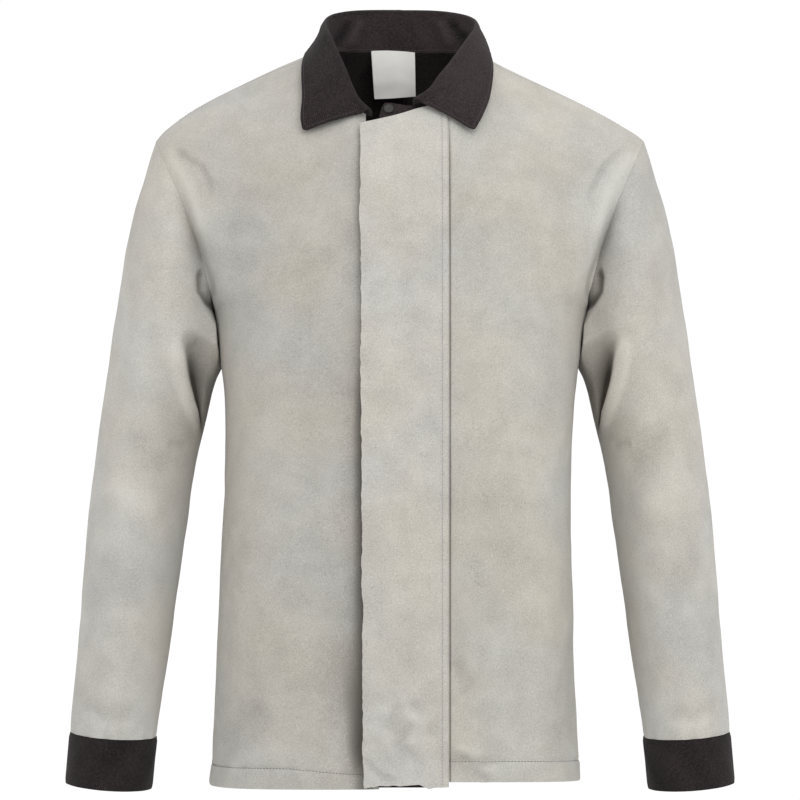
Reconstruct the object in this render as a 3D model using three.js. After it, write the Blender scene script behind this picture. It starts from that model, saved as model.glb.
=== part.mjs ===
// Welding jacket: split leather fronts, flap and sleeves, dark twill back, collar and cuffs.
// Millimetres. X runs from the wearer's right to the left, Y from the front to the back, Z up.
// The origin lies at the base of the neck, between the two ends of the shoulder seams.
import * as THREE from "three";

const RIGHT = -1;
const LEFT = 1;

// Walls, and the clearance that sewn edges keep
const LEATHER = 1.5;
const TWILL = 1.2;
const DOUBLE_TWILL = 2.2;
const HEM_WALL = 2.8;
const LABEL_WALL = 1.0;
const SEAM_GAP = 0.3;
const SHOULDER_GAP = 0.5;

// Armhole: from the armpit up to the shoulder point, deeper behind than in front. The swell
// lets the pinched curve reach its full depth; the pace is how fast it leaves the armpit.
const SHOULDER = { x: 243, y: 0, z: -91.5 };
const ARMPIT = { x: 183, y: 0, z: -262 };
const ARMHOLE_FRONT = 72;
const ARMHOLE_BACK = 78;
const ARMHOLE_HOLLOW = 8;
const ARMHOLE_SWELL = 1.5 * Math.sqrt(3);
const ARMHOLE_PACE = 2;
const ARMHOLE_FADE = 4;
const ARMHOLE_STEPS = 10;

// Torso sections from the hem (0) to the armpit (1): heights, half width and depth behind;
// sway shifts the section sideways, tilt lifts the wearer's left and drops the right
const TORSO = [
  { at: 0.0, side: -730.6, front: -717.2, back: -731, half: 184, sway: -5, tilt: 3.5, rear: 130 },
  { at: 0.1, side: -685, front: -673, back: -686, half: 181.5, sway: -5, tilt: 3, rear: 128 },
  { at: 0.28, side: -600, front: -592, back: -600, half: 177.5, sway: -4.5, tilt: 2, rear: 126 },
  { at: 0.47, side: -510, front: -505, back: -510, half: 174, sway: -3.5, tilt: 1, rear: 123 },
  { at: 0.64, side: -430, front: -427, back: -430, half: 172, sway: -2, tilt: 0, rear: 122 },
  { at: 0.79, side: -360, front: -358, back: -358, half: 172.5, sway: -0.5, tilt: 0, rear: 126 },
  { at: 0.9, side: -308, front: -306, back: -305, half: 178, sway: 0, tilt: 0, rear: 132 },
  { at: 1.0, side: -262, front: -258, back: -255, half: 183, sway: 0, tilt: 0, rear: 136 },
];

// Share of the tilt at the side seams, how far a row runs straight from the side and from the
// middle before it rounds the corner, and the level of the turned hem's stitched edge
const SIDE_TILT = 0.4;
const FULL_SIDE = 0.6;
const FULL_CENTRE = 0.62;
const HEM_LEVEL = 0.046;
const HEM_STEP = 0.003;
const HEM_ROWS = [0, HEM_LEVEL - HEM_STEP, HEM_LEVEL + HEM_STEP];
const LOWER_ROWS = [...HEM_ROWS, 0.12, 0.22, 0.32, 0.43, 0.54, 0.65, 0.75, 0.84, 0.92, 1];

// Profile of the front edge: distance in front of the neck, by height
const FRONT_PROFILE = [
  { at: -740, y: -135.5 },
  { at: -590, y: -137.5 },
  { at: -450, y: -139 },
  { at: -330, y: -140 },
  { at: -250, y: -138 },
  { at: -200, y: -134 },
  { at: -150, y: -125 },
  { at: -110, y: -113 },
  { at: -76, y: -99 },
  { at: -56, y: -88.5 },
];

// Shoulder seam: distance out from the middle and height on either side
const SHOULDER_SEAM = [
  { at: 77, right: 0.5, left: -3.5 },
  { at: 97, right: -8, left: -14.5 },
  { at: 123, right: -19, left: -27.2 },
  { at: 157, right: -35, left: -43 },
  { at: 188, right: -50.5, left: -58.3 },
  { at: 214, right: -66, left: -72.5 },
  { at: 235, right: -82, left: -85 },
  { at: 243, right: -91.5, left: -91.5 },
];

// Neckline, by the turn in degrees from the middle of the back
const NECK_HALF = 77;
const NECK_POINT_TURN = 90;
const CHEST_TURN = [130, 150];
const NECKLINE = [
  { at: 0, y: 80, right: 8, left: 8 },
  { at: 45, y: 55, right: 6, left: 5 },
  { at: 90, y: -8, right: 0.5, left: -3.5 },
  { at: 112, y: -41, right: -22, left: -22 },
  { at: 135, y: -74, right: -50, left: -42 },
  { at: 150, y: -90, right: -68, left: -56 },
  { at: 160, y: -95, right: -75, left: -61.5 },
  { at: 180, y: -97, right: -80, left: -66 },
];

// Directions in which the cloth climbs from the armpit row and arrives at the top edge,
// by the share across the panel from the armhole (0) to the middle (1)
const FRONT_CLIMB = [
  { at: 0.3, upX: 0, upY: -100, upZ: 260, topX: 0, topY: 200, topZ: 20 },
  { at: 0.6, upX: 20, upY: 0, upZ: 280, topX: 15, topY: 200, topZ: 120 },
  { at: 1.0, upX: 0, upY: -8, upZ: 190, topX: 0, topY: 75, topZ: 170 },
];
const BACK_CLIMB = [
  { at: 0.3, upX: 0, upY: 110, upZ: 260, topX: 0, topY: -230, topZ: 20 },
  { at: 0.6, upX: 20, upY: 60, upZ: 290, topX: 15, topY: -330, topZ: 50 },
  { at: 1.0, upX: 0, upY: 8, upZ: 260, topX: 0, topY: -130, topZ: 200 },
];

// Share of the top edge that is shoulder seam; the corner at the neck is rounded by a mean of
// nearby points, less towards the ends, and this rounding fades down the panel
const SHOULDER_SHARE = 0.6;
const CORNER_SOFTNESS = 0.09;
const CORNER_TAPS = [-2, -1, 0, 1, 2];
const CORNER_ENDS = 3;
const CORNER_FADE = 4;
const SHOULDER_COLUMNS = 8;
const FRONT_NECK_COLUMNS = 5;
const BACK_NECK_COLUMNS = 5;

// Cloth along a row and up a column, which turn the seam clearance into shares of them
const ROW_CLOTH = 290;
const COLUMN_CLOTH = 190;
const SEAM_SHARE = SEAM_GAP / ROW_CLOTH;
const TOP_SHARE = SHOULDER_GAP / COLUMN_CLOTH;

// Front opening: leather edges, how far the right one lies under the left, and how closely
// the pull of the front profile keeps to the edge
const LEFT_EDGE = 38;
const RIGHT_EDGE_TOP = -33;
const RIGHT_EDGE_HEM = -20;
const RIGHT_RECESS = 2.6;
const EDGE_PULL = 16;

// Sleeve sections from the armhole to the cuff's lower edge: outer and inner point of each
// ring, its depth to the front and back, and how far its middle swings along Y
const SLEEVE = [
  { at: 0, outX: 243, outZ: -91.5, inX: 183, inZ: -262, front: 72, back: 78, middle: 0 },
  { at: 0.5, outX: 250, outZ: -112, inX: 183.6, inZ: -271, front: 78, back: 81, middle: 0 },
  { at: 1.3, outX: 261, outZ: -150, inX: 182.4, inZ: -283, front: 82, back: 83, middle: 1 },
  { at: 2.2, outX: 272, outZ: -196, inX: 180.8, inZ: -298, front: 84, back: 84, middle: 2 },
  { at: 3.2, outX: 281.5, outZ: -250, inX: 179.2, inZ: -314, front: 84, back: 84, middle: 3 },
  { at: 4.2, outX: 290.5, outZ: -308, inX: 189, inZ: -345, front: 80, back: 81, middle: 3 },
  { at: 5.4, outX: 300, outZ: -380, inX: 201.5, inZ: -402, front: 74, back: 75, middle: 1 },
  { at: 6.7, outX: 309, outZ: -460, inX: 213, inZ: -472, front: 68, back: 69, middle: -4 },
  { at: 8, outX: 316, outZ: -539, inX: 224, inZ: -548, front: 61, back: 62, middle: -11 },
  { at: 9.2, outX: 322, outZ: -618, inX: 233.5, inZ: -625, front: 53, back: 54, middle: -19 },
  { at: 10.2, outX: 326.6, outZ: -678, inX: 240.7, inZ: -684, front: 47, back: 48, middle: -25 },
  { at: 11, outX: 330.6, outZ: -727, inX: 245.8, inZ: -734, front: 45, back: 46, middle: -29 },
];
const SLEEVE_ROWS = 22;
const SLEEVE_STATION = 60;
const SLEEVE_START = 0.02;
const CUFF_SEAM = 10.2;
const CUFF_END = 11;
const CUFF_ROWS = 3;
const CUFF_PROUD = 0.7;
const PINCH_END = 2.2;

// Dents of the sleeve: station along it, turn from the outer side through the front, reach, depth
const SLEEVE_DENTS = [
  { at: 3.9, turn: 138, length: 0.75, width: 26, depth: 20 },
  { at: 2.6, turn: 150, length: 0.5, width: 16, depth: 6 },
  { at: 6.2, turn: 120, length: 0.35, width: 40, depth: 3.5 },
  { at: 9.7, turn: 80, length: 0.25, width: 50, depth: 2 },
];

// Collar: neck seam, roll line and outer edge, by the turn from the middle of the back
const COLLAR_RIGHT = [
  { at: 0, rollX: 0, rollY: 76, rollZ: 47.5, edgeX: 0, edgeY: 95, edgeZ: -6, bow: 4 },
  { at: 35, rollX: 45, rollY: 65, rollZ: 45.5, edgeX: 57, edgeY: 82, edgeZ: -8, bow: 4 },
  { at: 65, rollX: 69, rollY: 36, rollZ: 37, edgeX: 86, edgeY: 46, edgeZ: -11, bow: 2 },
  { at: 90, rollX: 73, rollY: 2, rollZ: 24, edgeX: 93, edgeY: -1, edgeZ: -1, bow: -2 },
  { at: 110, rollX: 66, rollY: -35, rollZ: 4, edgeX: 97, edgeY: -45, edgeZ: -21, bow: 0 },
  { at: 130, rollX: 53, rollY: -69, rollZ: -28, edgeX: 95.5, edgeY: -74, edgeZ: -54, bow: 2 },
  { at: 147, rollX: 40, rollY: -94, rollZ: -59, edgeX: 96.5, edgeY: -87, edgeZ: -76, bow: 3 },
  { at: 159.5, rollX: 27, rollY: -104, rollZ: -71.5, edgeX: 94, edgeY: -93, edgeZ: -90, bow: 3 },
];
const COLLAR_LEFT = [
  { at: 0, rollX: 0, rollY: 76, rollZ: 47.5, edgeX: 0, edgeY: 95, edgeZ: -6, bow: 4 },
  { at: 35, rollX: 46, rollY: 65, rollZ: 44.5, edgeX: 57, edgeY: 82, edgeZ: -9, bow: 4 },
  { at: 65, rollX: 71, rollY: 36, rollZ: 35, edgeX: 84, edgeY: 46, edgeZ: -14, bow: 2 },
  { at: 90, rollX: 74, rollY: 2, rollZ: 22, edgeX: 90.5, edgeY: -1, edgeZ: -5.5, bow: 1 },
  { at: 110, rollX: 64, rollY: -35, rollZ: 2, edgeX: 92, edgeY: -46, edgeZ: -25, bow: 0 },
  { at: 130, rollX: 48, rollY: -70, rollZ: -25, edgeX: 87.5, edgeY: -77, edgeZ: -55, bow: 2 },
  { at: 150, rollX: 30, rollY: -98, rollZ: -49, edgeX: 79.5, edgeY: -98, edgeZ: -76, bow: 3 },
  { at: 170.7, rollX: 12.5, rollY: -105, rollZ: -60, edgeX: 72, edgeY: -105, edgeZ: -90, bow: 3 },
];
const COLLAR_END_COLUMNS = 2;
const COLLAR_GAP = 0.6;
const ROLL_RADIUS = 3.8;
const ROLL_STEPS = 4;
const STAND_STEPS = 2;
const FALL_STEPS = 3;

// Storm flap: sewn edge, free edge and the height of its slanted top
const FLAP_SEWN = 46.7;
const FLAP_FREE = -38.5;
const FLAP_FREE_HEM = -34.5;
const FLAP_HEM = -715.5;
const FLAP_TOP = [
  { at: -38.5, z: -83.5 },
  { at: -9, z: -76.5 },
  { at: 19, z: -68.5 },
  { at: 46.7, z: -61 },
];
const FLAP_SEWN_LIFT = 2.6;
const FLAP_FREE_LIFT = 7;
const FLAP_HEM_LIFT = 4;
const FLAP_COLUMNS = 5;
const FLAP_ROWS = 16;

// Placket and underlap: dark strips that carry the studs
const PLACKET_TIP = -20.2;
const PLACKET_HEM = -718.8;
const PLACKET_TOP = [
  { at: -20.2, z: -77 },
  { at: -17.3, z: -66.5 },
  { at: -13.5, z: -62.6 },
  { at: 9, z: -65.4 },
  { at: 19, z: -64 },
  { at: 38, z: -57 },
];
const PLACKET_XS = [-20.2, -17.3, -13.5, -3, 9, 19, 28, 37.6];
const UNDERLAP_END = 25;
const UNDERLAP_TOP = -80;
const UNDERLAP_HEM = -714;
const UNDERLAP_COLUMNS = 3;
const STRIP_ROWS = 14;

const STUD_X = -11;
const STUD_COUNT = 5;
const STUD_TOP = -69;
const STUD_LOWEST = -640;
const STUD_RADIUS = 5;
const STUD_HEIGHT = 1.6;
const STUD_SIDES = 10;
const STUD_RINGS = 3;

const LABEL = { x: -5.5, top: 4, width: 44, height: 48, clear: 1.3, bow: 2.5, steps: 4 };

const LEATHER_LOOK = { color: 0xbdbbb4, roughness: 0.95, metalness: 0 };
const TWILL_LOOK = { color: 0x352f30, roughness: 0.9, metalness: 0 };
const LABEL_LOOK = { color: 0xd9d8d4, roughness: 0.55, metalness: 0 };
const STUD_LOOK = { color: 0x3a3637, roughness: 0.4, metalness: 0.7 };

const vec = (x, y, z) => new THREE.Vector3(x, y, z);
const radians = THREE.MathUtils.degToRad;
const mix = THREE.MathUtils.lerp;
const ease = THREE.MathUtils.smoothstep;
const spread = (from, to, steps) => Array.from({ length: steps + 1 }, (_, i) => mix(from, to, i / steps));

// Cubic between two values with their slopes
function hermite(k, from, to, leave, arrive) {
  const rest = 1 - k;
  const blend = rest * rest * (1 + 2 * k) * from + k * k * (3 - 2 * k) * to;
  return blend + k * rest * (rest * leave - k * arrive);
}

// Smooth curve through one named column of a table whose rows ascend in "at"
function read(table, name, at) {
  const last = table.length - 1;
  const place = THREE.MathUtils.clamp(at, table[0].at, table[last].at);
  let i = 0;
  while (i < last - 1 && place > table[i + 1].at) {
    i += 1;
  }
  const slope = (k) => {
    const low = table[Math.max(k - 1, 0)];
    const high = table[Math.min(k + 1, last)];
    return (high[name] - low[name]) / (high.at - low.at);
  };
  const span = table[i + 1].at - table[i].at;
  const share = (place - table[i].at) / span;
  return hermite(share, table[i][name], table[i + 1][name], slope(i) * span, slope(i + 1) * span);
}

// Closed wall of cloth: a grid of points on its outer face, set back along the normals.
// A loop closes on itself in u; "out" turns the normals to the outer side.
function wall(point, us, vs, thickness, { loop = false, out = 1 } = {}) {
  const columns = us.length;
  const rows = vs.length;
  const outer = vs.map((v) => us.map((u) => point(u, v)));
  const normals = outer.map((row) => row.map(() => vec(0, 0, 0)));
  const cells = [];
  for (let j = 0; j < rows - 1; j += 1) {
    for (let i = 0; i < (loop ? columns : columns - 1); i += 1) {
      const n = (i + 1) % columns;
      cells.push([[j, i], [j, n], [j + 1, n], [j + 1, i]]);
    }
  }
  for (const cell of cells) {
    const [a, b, c, d] = cell.map(([j, i]) => outer[j][i]);
    const across = c.clone().sub(a).cross(d.clone().sub(b)).multiplyScalar(out);
    cell.forEach(([j, i]) => normals[j][i].add(across));
  }
  const depth = typeof thickness === "function" ? thickness : () => thickness;
  const inner = outer.map((row, j) => row.map((p, i) => {
    const inward = normals[j][i].clone().normalize();
    return p.clone().addScaledVector(inward, -depth(us[i], vs[j]));
  }));
  const half = rows * columns;
  const at = (side, [j, i]) => side * half + j * columns + (i % columns);
  const index = [];
  const quad = (a, b, c, d) => {
    if (out > 0) {
      index.push(a, b, c, a, c, d);
    } else {
      index.push(a, c, b, a, d, c);
    }
  };
  for (const [a, b, c, d] of cells) {
    quad(at(0, a), at(0, b), at(0, c), at(0, d));
    quad(at(1, d), at(1, c), at(1, b), at(1, a));
  }
  const rim = (a, b) => quad(at(1, a), at(1, b), at(0, b), at(0, a));
  for (let i = 0; i < (loop ? columns : columns - 1); i += 1) {
    rim([0, i], [0, i + 1]);
    rim([rows - 1, i + 1], [rows - 1, i]);
  }
  if (!loop) {
    for (let j = 0; j < rows - 1; j += 1) {
      rim([j + 1, 0], [j, 0]);
      rim([j, columns - 1], [j + 1, columns - 1]);
    }
  }
  const geometry = new THREE.BufferGeometry();
  const points = [...outer.flat(), ...inner.flat()];
  const values = points.flatMap((p) => p.toArray());
  geometry.setAttribute("position", new THREE.Float32BufferAttribute(values, 3));
  geometry.setIndex(index);
  geometry.computeVertexNormals();
  return geometry;
}

function piece(name, geometry, look) {
  const mesh = new THREE.Mesh(geometry, new THREE.MeshStandardMaterial(look));
  mesh.name = name;
  return mesh;
}

const frontY = (z) => read(FRONT_PROFILE, "y", z);

// Seam line of the armhole: climb runs from 0 at the armpit, where it is pinched, to 1
function armhole(side, face, climb) {
  const share = climb * (2 - climb);
  const depth = face < 0 ? ARMHOLE_FRONT : ARMHOLE_BACK;
  const bulge = face * depth * ARMHOLE_SWELL * share * (1 - climb);
  const hollow = ARMHOLE_HOLLOW * 4 * share * (1 - share);
  const x = mix(ARMPIT.x, SHOULDER.x, share) - hollow;
  return vec(side * x, bulge, mix(ARMPIT.z, SHOULDER.z, share));
}

function shoulderSeam(side, share) {
  const x = mix(SHOULDER.x, NECK_HALF, share);
  const z = read(SHOULDER_SEAM, side < 0 ? "right" : "left", x);
  return vec(side * x, mix(SHOULDER.y, read(NECKLINE, "y", NECK_POINT_TURN), share), z);
}

// Neckline from the middle of the back (0) to the middle of the front (180 degrees)
function neckline(side, turn) {
  const z = read(NECKLINE, side < 0 ? "right" : "left", turn);
  const oval = read(NECKLINE, "y", turn);
  const y = mix(oval, frontY(z), ease(turn, ...CHEST_TURN));
  return vec(side * NECK_HALF * Math.sin(radians(turn)), y, z);
}

const turnAt = (x) => 180 - THREE.MathUtils.radToDeg(Math.asin(Math.abs(x) / NECK_HALF));

function bezier(a, b, c, d, k) {
  return new THREE.CubicBezierCurve3(a, b, c, d).getPoint(k);
}

// Row of a torso panel below the armpit, from the side seam (0) to the middle (1)
function lowerRow(side, face, edge, level, across) {
  const get = (name) => read(TORSO, name, level);
  const start = vec(side * get("half") + get("sway"), 0, get("side") + side * SIDE_TILT * get("tilt"));
  const z = face < 0 ? get("front") + side * get("tilt") : get("back");
  const reach = face < 0 ? frontY(z) : get("rear");
  const end = vec(edge ?? get("sway"), reach, z);
  const leave = vec(start.x, FULL_SIDE * reach, mix(start.z, z, FULL_SIDE));
  const arrive = vec(mix(end.x, start.x, FULL_CENTRE), reach, z);
  return bezier(start, leave, arrive, end, across);
}

// Top edge of a torso panel: along the shoulder seam to the neck, then down the neckline
function topEdge(side, endTurn, across) {
  const onSeam = across / SHOULDER_SHARE;
  const onNeck = (across - SHOULDER_SHARE) / (1 - SHOULDER_SHARE);
  return onSeam <= 1 ? shoulderSeam(side, onSeam) : neckline(side, mix(NECK_POINT_TURN, endTurn, onNeck));
}

// The same edge with its corner at the neck rounded off, which the cloth below it follows
function softTopEdge(side, endTurn, across) {
  const reach = CORNER_SOFTNESS * Math.min(1, CORNER_ENDS * across, CORNER_ENDS * (1 - across));
  const sum = vec(0, 0, 0);
  for (const offset of CORNER_TAPS) {
    sum.add(topEdge(side, endTurn, across + offset * reach));
  }
  return sum.divideScalar(CORNER_TAPS.length);
}

// Panel above the armpit: cloth that climbs from the armpit row to shoulder seam and neckline
function upperPanel(side, face, edge, endTurn, climb, across) {
  const foot = lowerRow(side, face, edge, 1, across);
  const soft = softTopEdge(side, endTurn, across);
  const depth = face < 0 ? ARMHOLE_FRONT : ARMHOLE_BACK;
  const seamRow = {
    at: 0,
    upX: ARMHOLE_PACE * (ARMPIT.x - SHOULDER.x + 4 * ARMHOLE_HOLLOW),
    upY: face * ARMHOLE_PACE * ARMHOLE_SWELL * depth,
    upZ: ARMHOLE_PACE * (SHOULDER.z - ARMPIT.z),
    topX: 0,
    topY: -face * ARMHOLE_SWELL * depth,
    topZ: 0,
  };
  const table = [seamRow, ...(face < 0 ? FRONT_CLIMB : BACK_CLIMB)];
  const get = (name) => read(table, name, across);
  const p = vec(
    hermite(climb, foot.x, soft.x, -side * get("upX"), -side * get("topX")),
    hermite(climb, foot.y, soft.y, get("upY"), get("topY")),
    hermite(climb, foot.z, soft.z, get("upZ"), get("topZ")),
  );
  return p.addScaledVector(topEdge(side, endTurn, across).sub(soft), climb ** CORNER_FADE);
}

// Torso panel: level 0 to 1 runs from hem to armpit, 1 to 2 on to the top edge
function panel(side, face, edge, endTurn, across, level) {
  if (level <= 1) {
    return lowerRow(side, face, edge, level, across);
  }
  const climb = level - 1;
  const p = upperPanel(side, face, edge, endTurn, climb, across);
  const seam = armhole(side, face, climb);
  const own = upperPanel(side, face, edge, endTurn, climb, 0);
  return p.addScaledVector(seam.sub(own), (1 - across) ** ARMHOLE_FADE);
}

const climbs = spread(0, 180, ARMHOLE_STEPS).map((turn) => 1 - Math.cos(radians(turn / 2)));
const levels = [...LOWER_ROWS, ...climbs.slice(1).map((climb) => 1 + climb)];
levels[levels.length - 1] -= TOP_SHARE;
const hemWall = (thin) => (u, v) => (v < HEM_LEVEL ? HEM_WALL : thin);

// Front edge of the leather on the wearer's right, which slants a little
function rightEdge(z) {
  return mix(RIGHT_EDGE_HEM, RIGHT_EDGE_TOP, (z - UNDERLAP_HEM) / (UNDERLAP_TOP - UNDERLAP_HEM));
}

function frontPanel(name, side) {
  const edgeAt = (z) => (side < 0 ? rightEdge(z) : LEFT_EDGE);
  const recess = side < 0 ? RIGHT_RECESS : 0;
  const endTurn = turnAt(side < 0 ? RIGHT_EDGE_TOP : LEFT_EDGE);
  const point = (u, v) => {
    const edge = edgeAt(read(TORSO, "front", v));
    const p = panel(side, -1, edge, endTurn, u, v);
    p.y = mix(p.y, frontY(p.z) + recess, u ** EDGE_PULL);
    return p;
  };
  const us = [
    ...spread(SEAM_SHARE, SHOULDER_SHARE, SHOULDER_COLUMNS),
    ...spread(SHOULDER_SHARE, 1, FRONT_NECK_COLUMNS).slice(1),
  ];
  const geometry = wall(point, us, levels, hemWall(LEATHER), { out: -side });
  return piece(name, geometry, LEATHER_LOOK);
}

function backPanel() {
  const point = (u, v) => panel(Math.sign(u) || LEFT, 1, null, 0, 1 - Math.abs(u), v);
  const half = [
    ...spread(1 - SEAM_SHARE, 1 - SHOULDER_SHARE, SHOULDER_COLUMNS),
    ...spread(1 - SHOULDER_SHARE, 0, BACK_NECK_COLUMNS).slice(1),
  ];
  const us = [...half.map((u) => -u), ...half.slice(0, -1).reverse()];
  return piece("back", wall(point, us, levels, hemWall(TWILL), { out: -1 }), TWILL_LOOK);
}

// Sleeve ring at a station, turned from the outer side (0) through the front (90) to the body
function sleeveRing(side, turn, station, proud) {
  const get = (name) => read(SLEEVE, name, station);
  const cos = Math.cos(radians(turn));
  const sin = Math.sin(radians(turn));
  const pinch = 1 - ease(station, 0, PINCH_END);
  const squeeze = mix(1, (ARMHOLE_SWELL / 2) * Math.abs(Math.cos(radians(turn / 2))), pinch);
  const depth = sin > 0 ? get("front") : get("back");
  const hollow = ARMHOLE_HOLLOW * sin * sin * pinch;
  const dent = SLEEVE_DENTS.reduce((sum, fold) => {
    const along = (station - fold.at) / fold.length;
    const around = (turn - fold.turn) / fold.width;
    return sum + fold.depth * Math.exp(-along * along - around * around);
  }, 0);
  const middle = vec((get("outX") + get("inX")) / 2, get("middle"), (get("outZ") + get("inZ")) / 2);
  const half = vec((get("outX") - get("inX")) / 2, 0, (get("outZ") - get("inZ")) / 2);
  const spoke = half.multiplyScalar(cos).add(vec(-hollow, -depth * sin * squeeze, 0));
  const p = middle.addScaledVector(spoke, 1 + (proud - dent) / spoke.length());
  return vec(side * p.x, p.y, p.z);
}

const ringTurns = spread(0, 360, 2 * ARMHOLE_STEPS).slice(0, -1);

function sleeve(name, side) {
  const point = (turn, v) => sleeveRing(side, turn, v, 0);
  const rows = spread(SLEEVE_START, CUFF_SEAM - SEAM_GAP / SLEEVE_STATION, SLEEVE_ROWS);
  return piece(name, wall(point, ringTurns, rows, LEATHER, { loop: true, out: side }), LEATHER_LOOK);
}

function cuff(name, side) {
  const point = (turn, v) => sleeveRing(side, turn, v, CUFF_PROUD);
  const rows = spread(CUFF_SEAM + SEAM_GAP / SLEEVE_STATION, CUFF_END, CUFF_ROWS);
  return piece(name, wall(point, ringTurns, rows, DOUBLE_TWILL, { loop: true, out: side }), TWILL_LOOK);
}

// Section of the collar: up the stand, round the roll and down the fall to the outer edge.
// The turn is negative on the wearer's right.
function collarPoint(signedTurn, step) {
  const side = signedTurn < 0 ? RIGHT : LEFT;
  const turn = Math.abs(signedTurn);
  const get = (name) => read(side < 0 ? COLLAR_RIGHT : COLLAR_LEFT, name, turn);
  const seam = neckline(side, turn);
  const roll = vec(side * get("rollX"), get("rollY"), get("rollZ"));
  const edge = vec(side * get("edgeX"), get("edgeY"), get("edgeZ"));
  const up = roll.clone().sub(seam).normalize();
  seam.addScaledVector(up, COLLAR_GAP);
  const fallLine = edge.clone().sub(roll);
  const outward = fallLine.addScaledVector(up, -fallLine.dot(up)).normalize();
  if (step <= STAND_STEPS) {
    return seam.lerp(roll, step / STAND_STEPS);
  }
  const overRoll = (angle) => roll.clone()
    .addScaledVector(outward, ROLL_RADIUS * (1 - Math.cos(angle)))
    .addScaledVector(up, ROLL_RADIUS * Math.sin(angle));
  const onRoll = step - STAND_STEPS;
  if (onRoll <= ROLL_STEPS) {
    return overRoll((Math.PI * onRoll) / ROLL_STEPS);
  }
  const share = (onRoll - ROLL_STEPS) / FALL_STEPS;
  const bow = get("bow") * 4 * share * (1 - share);
  return overRoll(Math.PI).lerp(edge, share).addScaledVector(outward, bow).addScaledVector(up, bow / 2);
}

// Sections at the corners of the panels' neckline, then on to the collar's own end
function collarTurns(table, edge) {
  const end = table[table.length - 1].at;
  const behind = spread(0, NECK_POINT_TURN, BACK_NECK_COLUMNS);
  const front = spread(NECK_POINT_TURN, turnAt(edge), FRONT_NECK_COLUMNS).slice(1);
  return [...behind, ...front, ...spread(turnAt(edge), end, COLLAR_END_COLUMNS).slice(1)];
}

function collar() {
  const right = collarTurns(COLLAR_RIGHT, RIGHT_EDGE_TOP).slice(1).reverse();
  const us = [...right.map((turn) => -turn), ...collarTurns(COLLAR_LEFT, LEFT_EDGE)];
  const count = STAND_STEPS + ROLL_STEPS + FALL_STEPS;
  return piece("collar", wall(collarPoint, us, spread(0, count, count), DOUBLE_TWILL), TWILL_LOOK);
}

function stormFlap() {
  const point = (u, v) => {
    const x = mix(mix(FLAP_FREE_HEM, FLAP_FREE, v), FLAP_SEWN, u);
    const z = mix(FLAP_HEM, read(FLAP_TOP, "z", x), v);
    const lift = mix(FLAP_FREE_LIFT + FLAP_HEM_LIFT * (1 - v), FLAP_SEWN_LIFT, u);
    return vec(x, frontY(z) - lift, z);
  };
  const geometry = wall(point, spread(0, 1, FLAP_COLUMNS), spread(0, 1, FLAP_ROWS), LEATHER, { out: 1 });
  return piece("storm_flap", geometry, LEATHER_LOOK);
}

function snapPlacket() {
  const point = (x, v) => {
    const z = mix(PLACKET_HEM, read(PLACKET_TOP, "z", x), v);
    return vec(x, frontY(z), z);
  };
  const geometry = wall(point, PLACKET_XS, spread(0, 1, STRIP_ROWS), TWILL, { out: 1 });
  return piece("snap_placket", geometry, TWILL_LOOK);
}

function underlap() {
  const point = (u, v) => {
    const z = mix(UNDERLAP_HEM, UNDERLAP_TOP, v);
    return vec(mix(rightEdge(z) + 2 * SEAM_GAP, UNDERLAP_END, u), frontY(z) + RIGHT_RECESS, z);
  };
  const us = spread(0, 1, UNDERLAP_COLUMNS);
  return piece("underlap", wall(point, us, spread(0, 1, STRIP_ROWS), TWILL, { out: 1 }), TWILL_LOOK);
}

// Low dome on the outer face of the placket
function pressStud(number) {
  const z = mix(STUD_TOP, STUD_LOWEST, (number - 1) / (STUD_COUNT - 1));
  const profile = new THREE.Path();
  profile.moveTo(0, 0);
  profile.lineTo(STUD_RADIUS, 0);
  profile.quadraticCurveTo(STUD_RADIUS, STUD_HEIGHT, 0, STUD_HEIGHT);
  const geometry = new THREE.LatheGeometry(profile.getPoints(STUD_RINGS), STUD_SIDES);
  const mesh = piece(`press_stud_${number}`, geometry, STUD_LOOK);
  const slope = Math.atan2(frontY(z + 1) - frontY(z - 1), 2);
  mesh.rotation.x = Math.PI - slope;
  mesh.position.set(STUD_X, frontY(z) - SEAM_GAP, z);
  return mesh;
}

function neckLabel() {
  const point = (u, v) => {
    const x = LABEL.x + (u - 0.5) * LABEL.width;
    const z = LABEL.top - (1 - v) * LABEL.height;
    const seam = neckline(LEFT, THREE.MathUtils.radToDeg(Math.asin(Math.abs(x) / NECK_HALF)));
    return vec(x, seam.y - LABEL.clear - LABEL.bow * Math.sin(Math.PI * v), z);
  };
  const grid = spread(0, 1, LABEL.steps);
  const geometry = wall(point, grid, grid, LABEL_WALL, { out: 1 });
  return piece("neck_label", geometry, LABEL_LOOK);
}

const jacket = new THREE.Group();
jacket.add(frontPanel("right_front", RIGHT), frontPanel("left_front", LEFT), backPanel());
jacket.add(sleeve("right_sleeve", RIGHT), sleeve("left_sleeve", LEFT));
jacket.add(cuff("right_cuff", RIGHT), cuff("left_cuff", LEFT));
jacket.add(collar(), stormFlap(), snapPlacket(), underlap(), neckLabel());
for (let number = 1; number <= STUD_COUNT; number += 1) {
  jacket.add(pressStud(number));
}

export default jacket;
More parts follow.
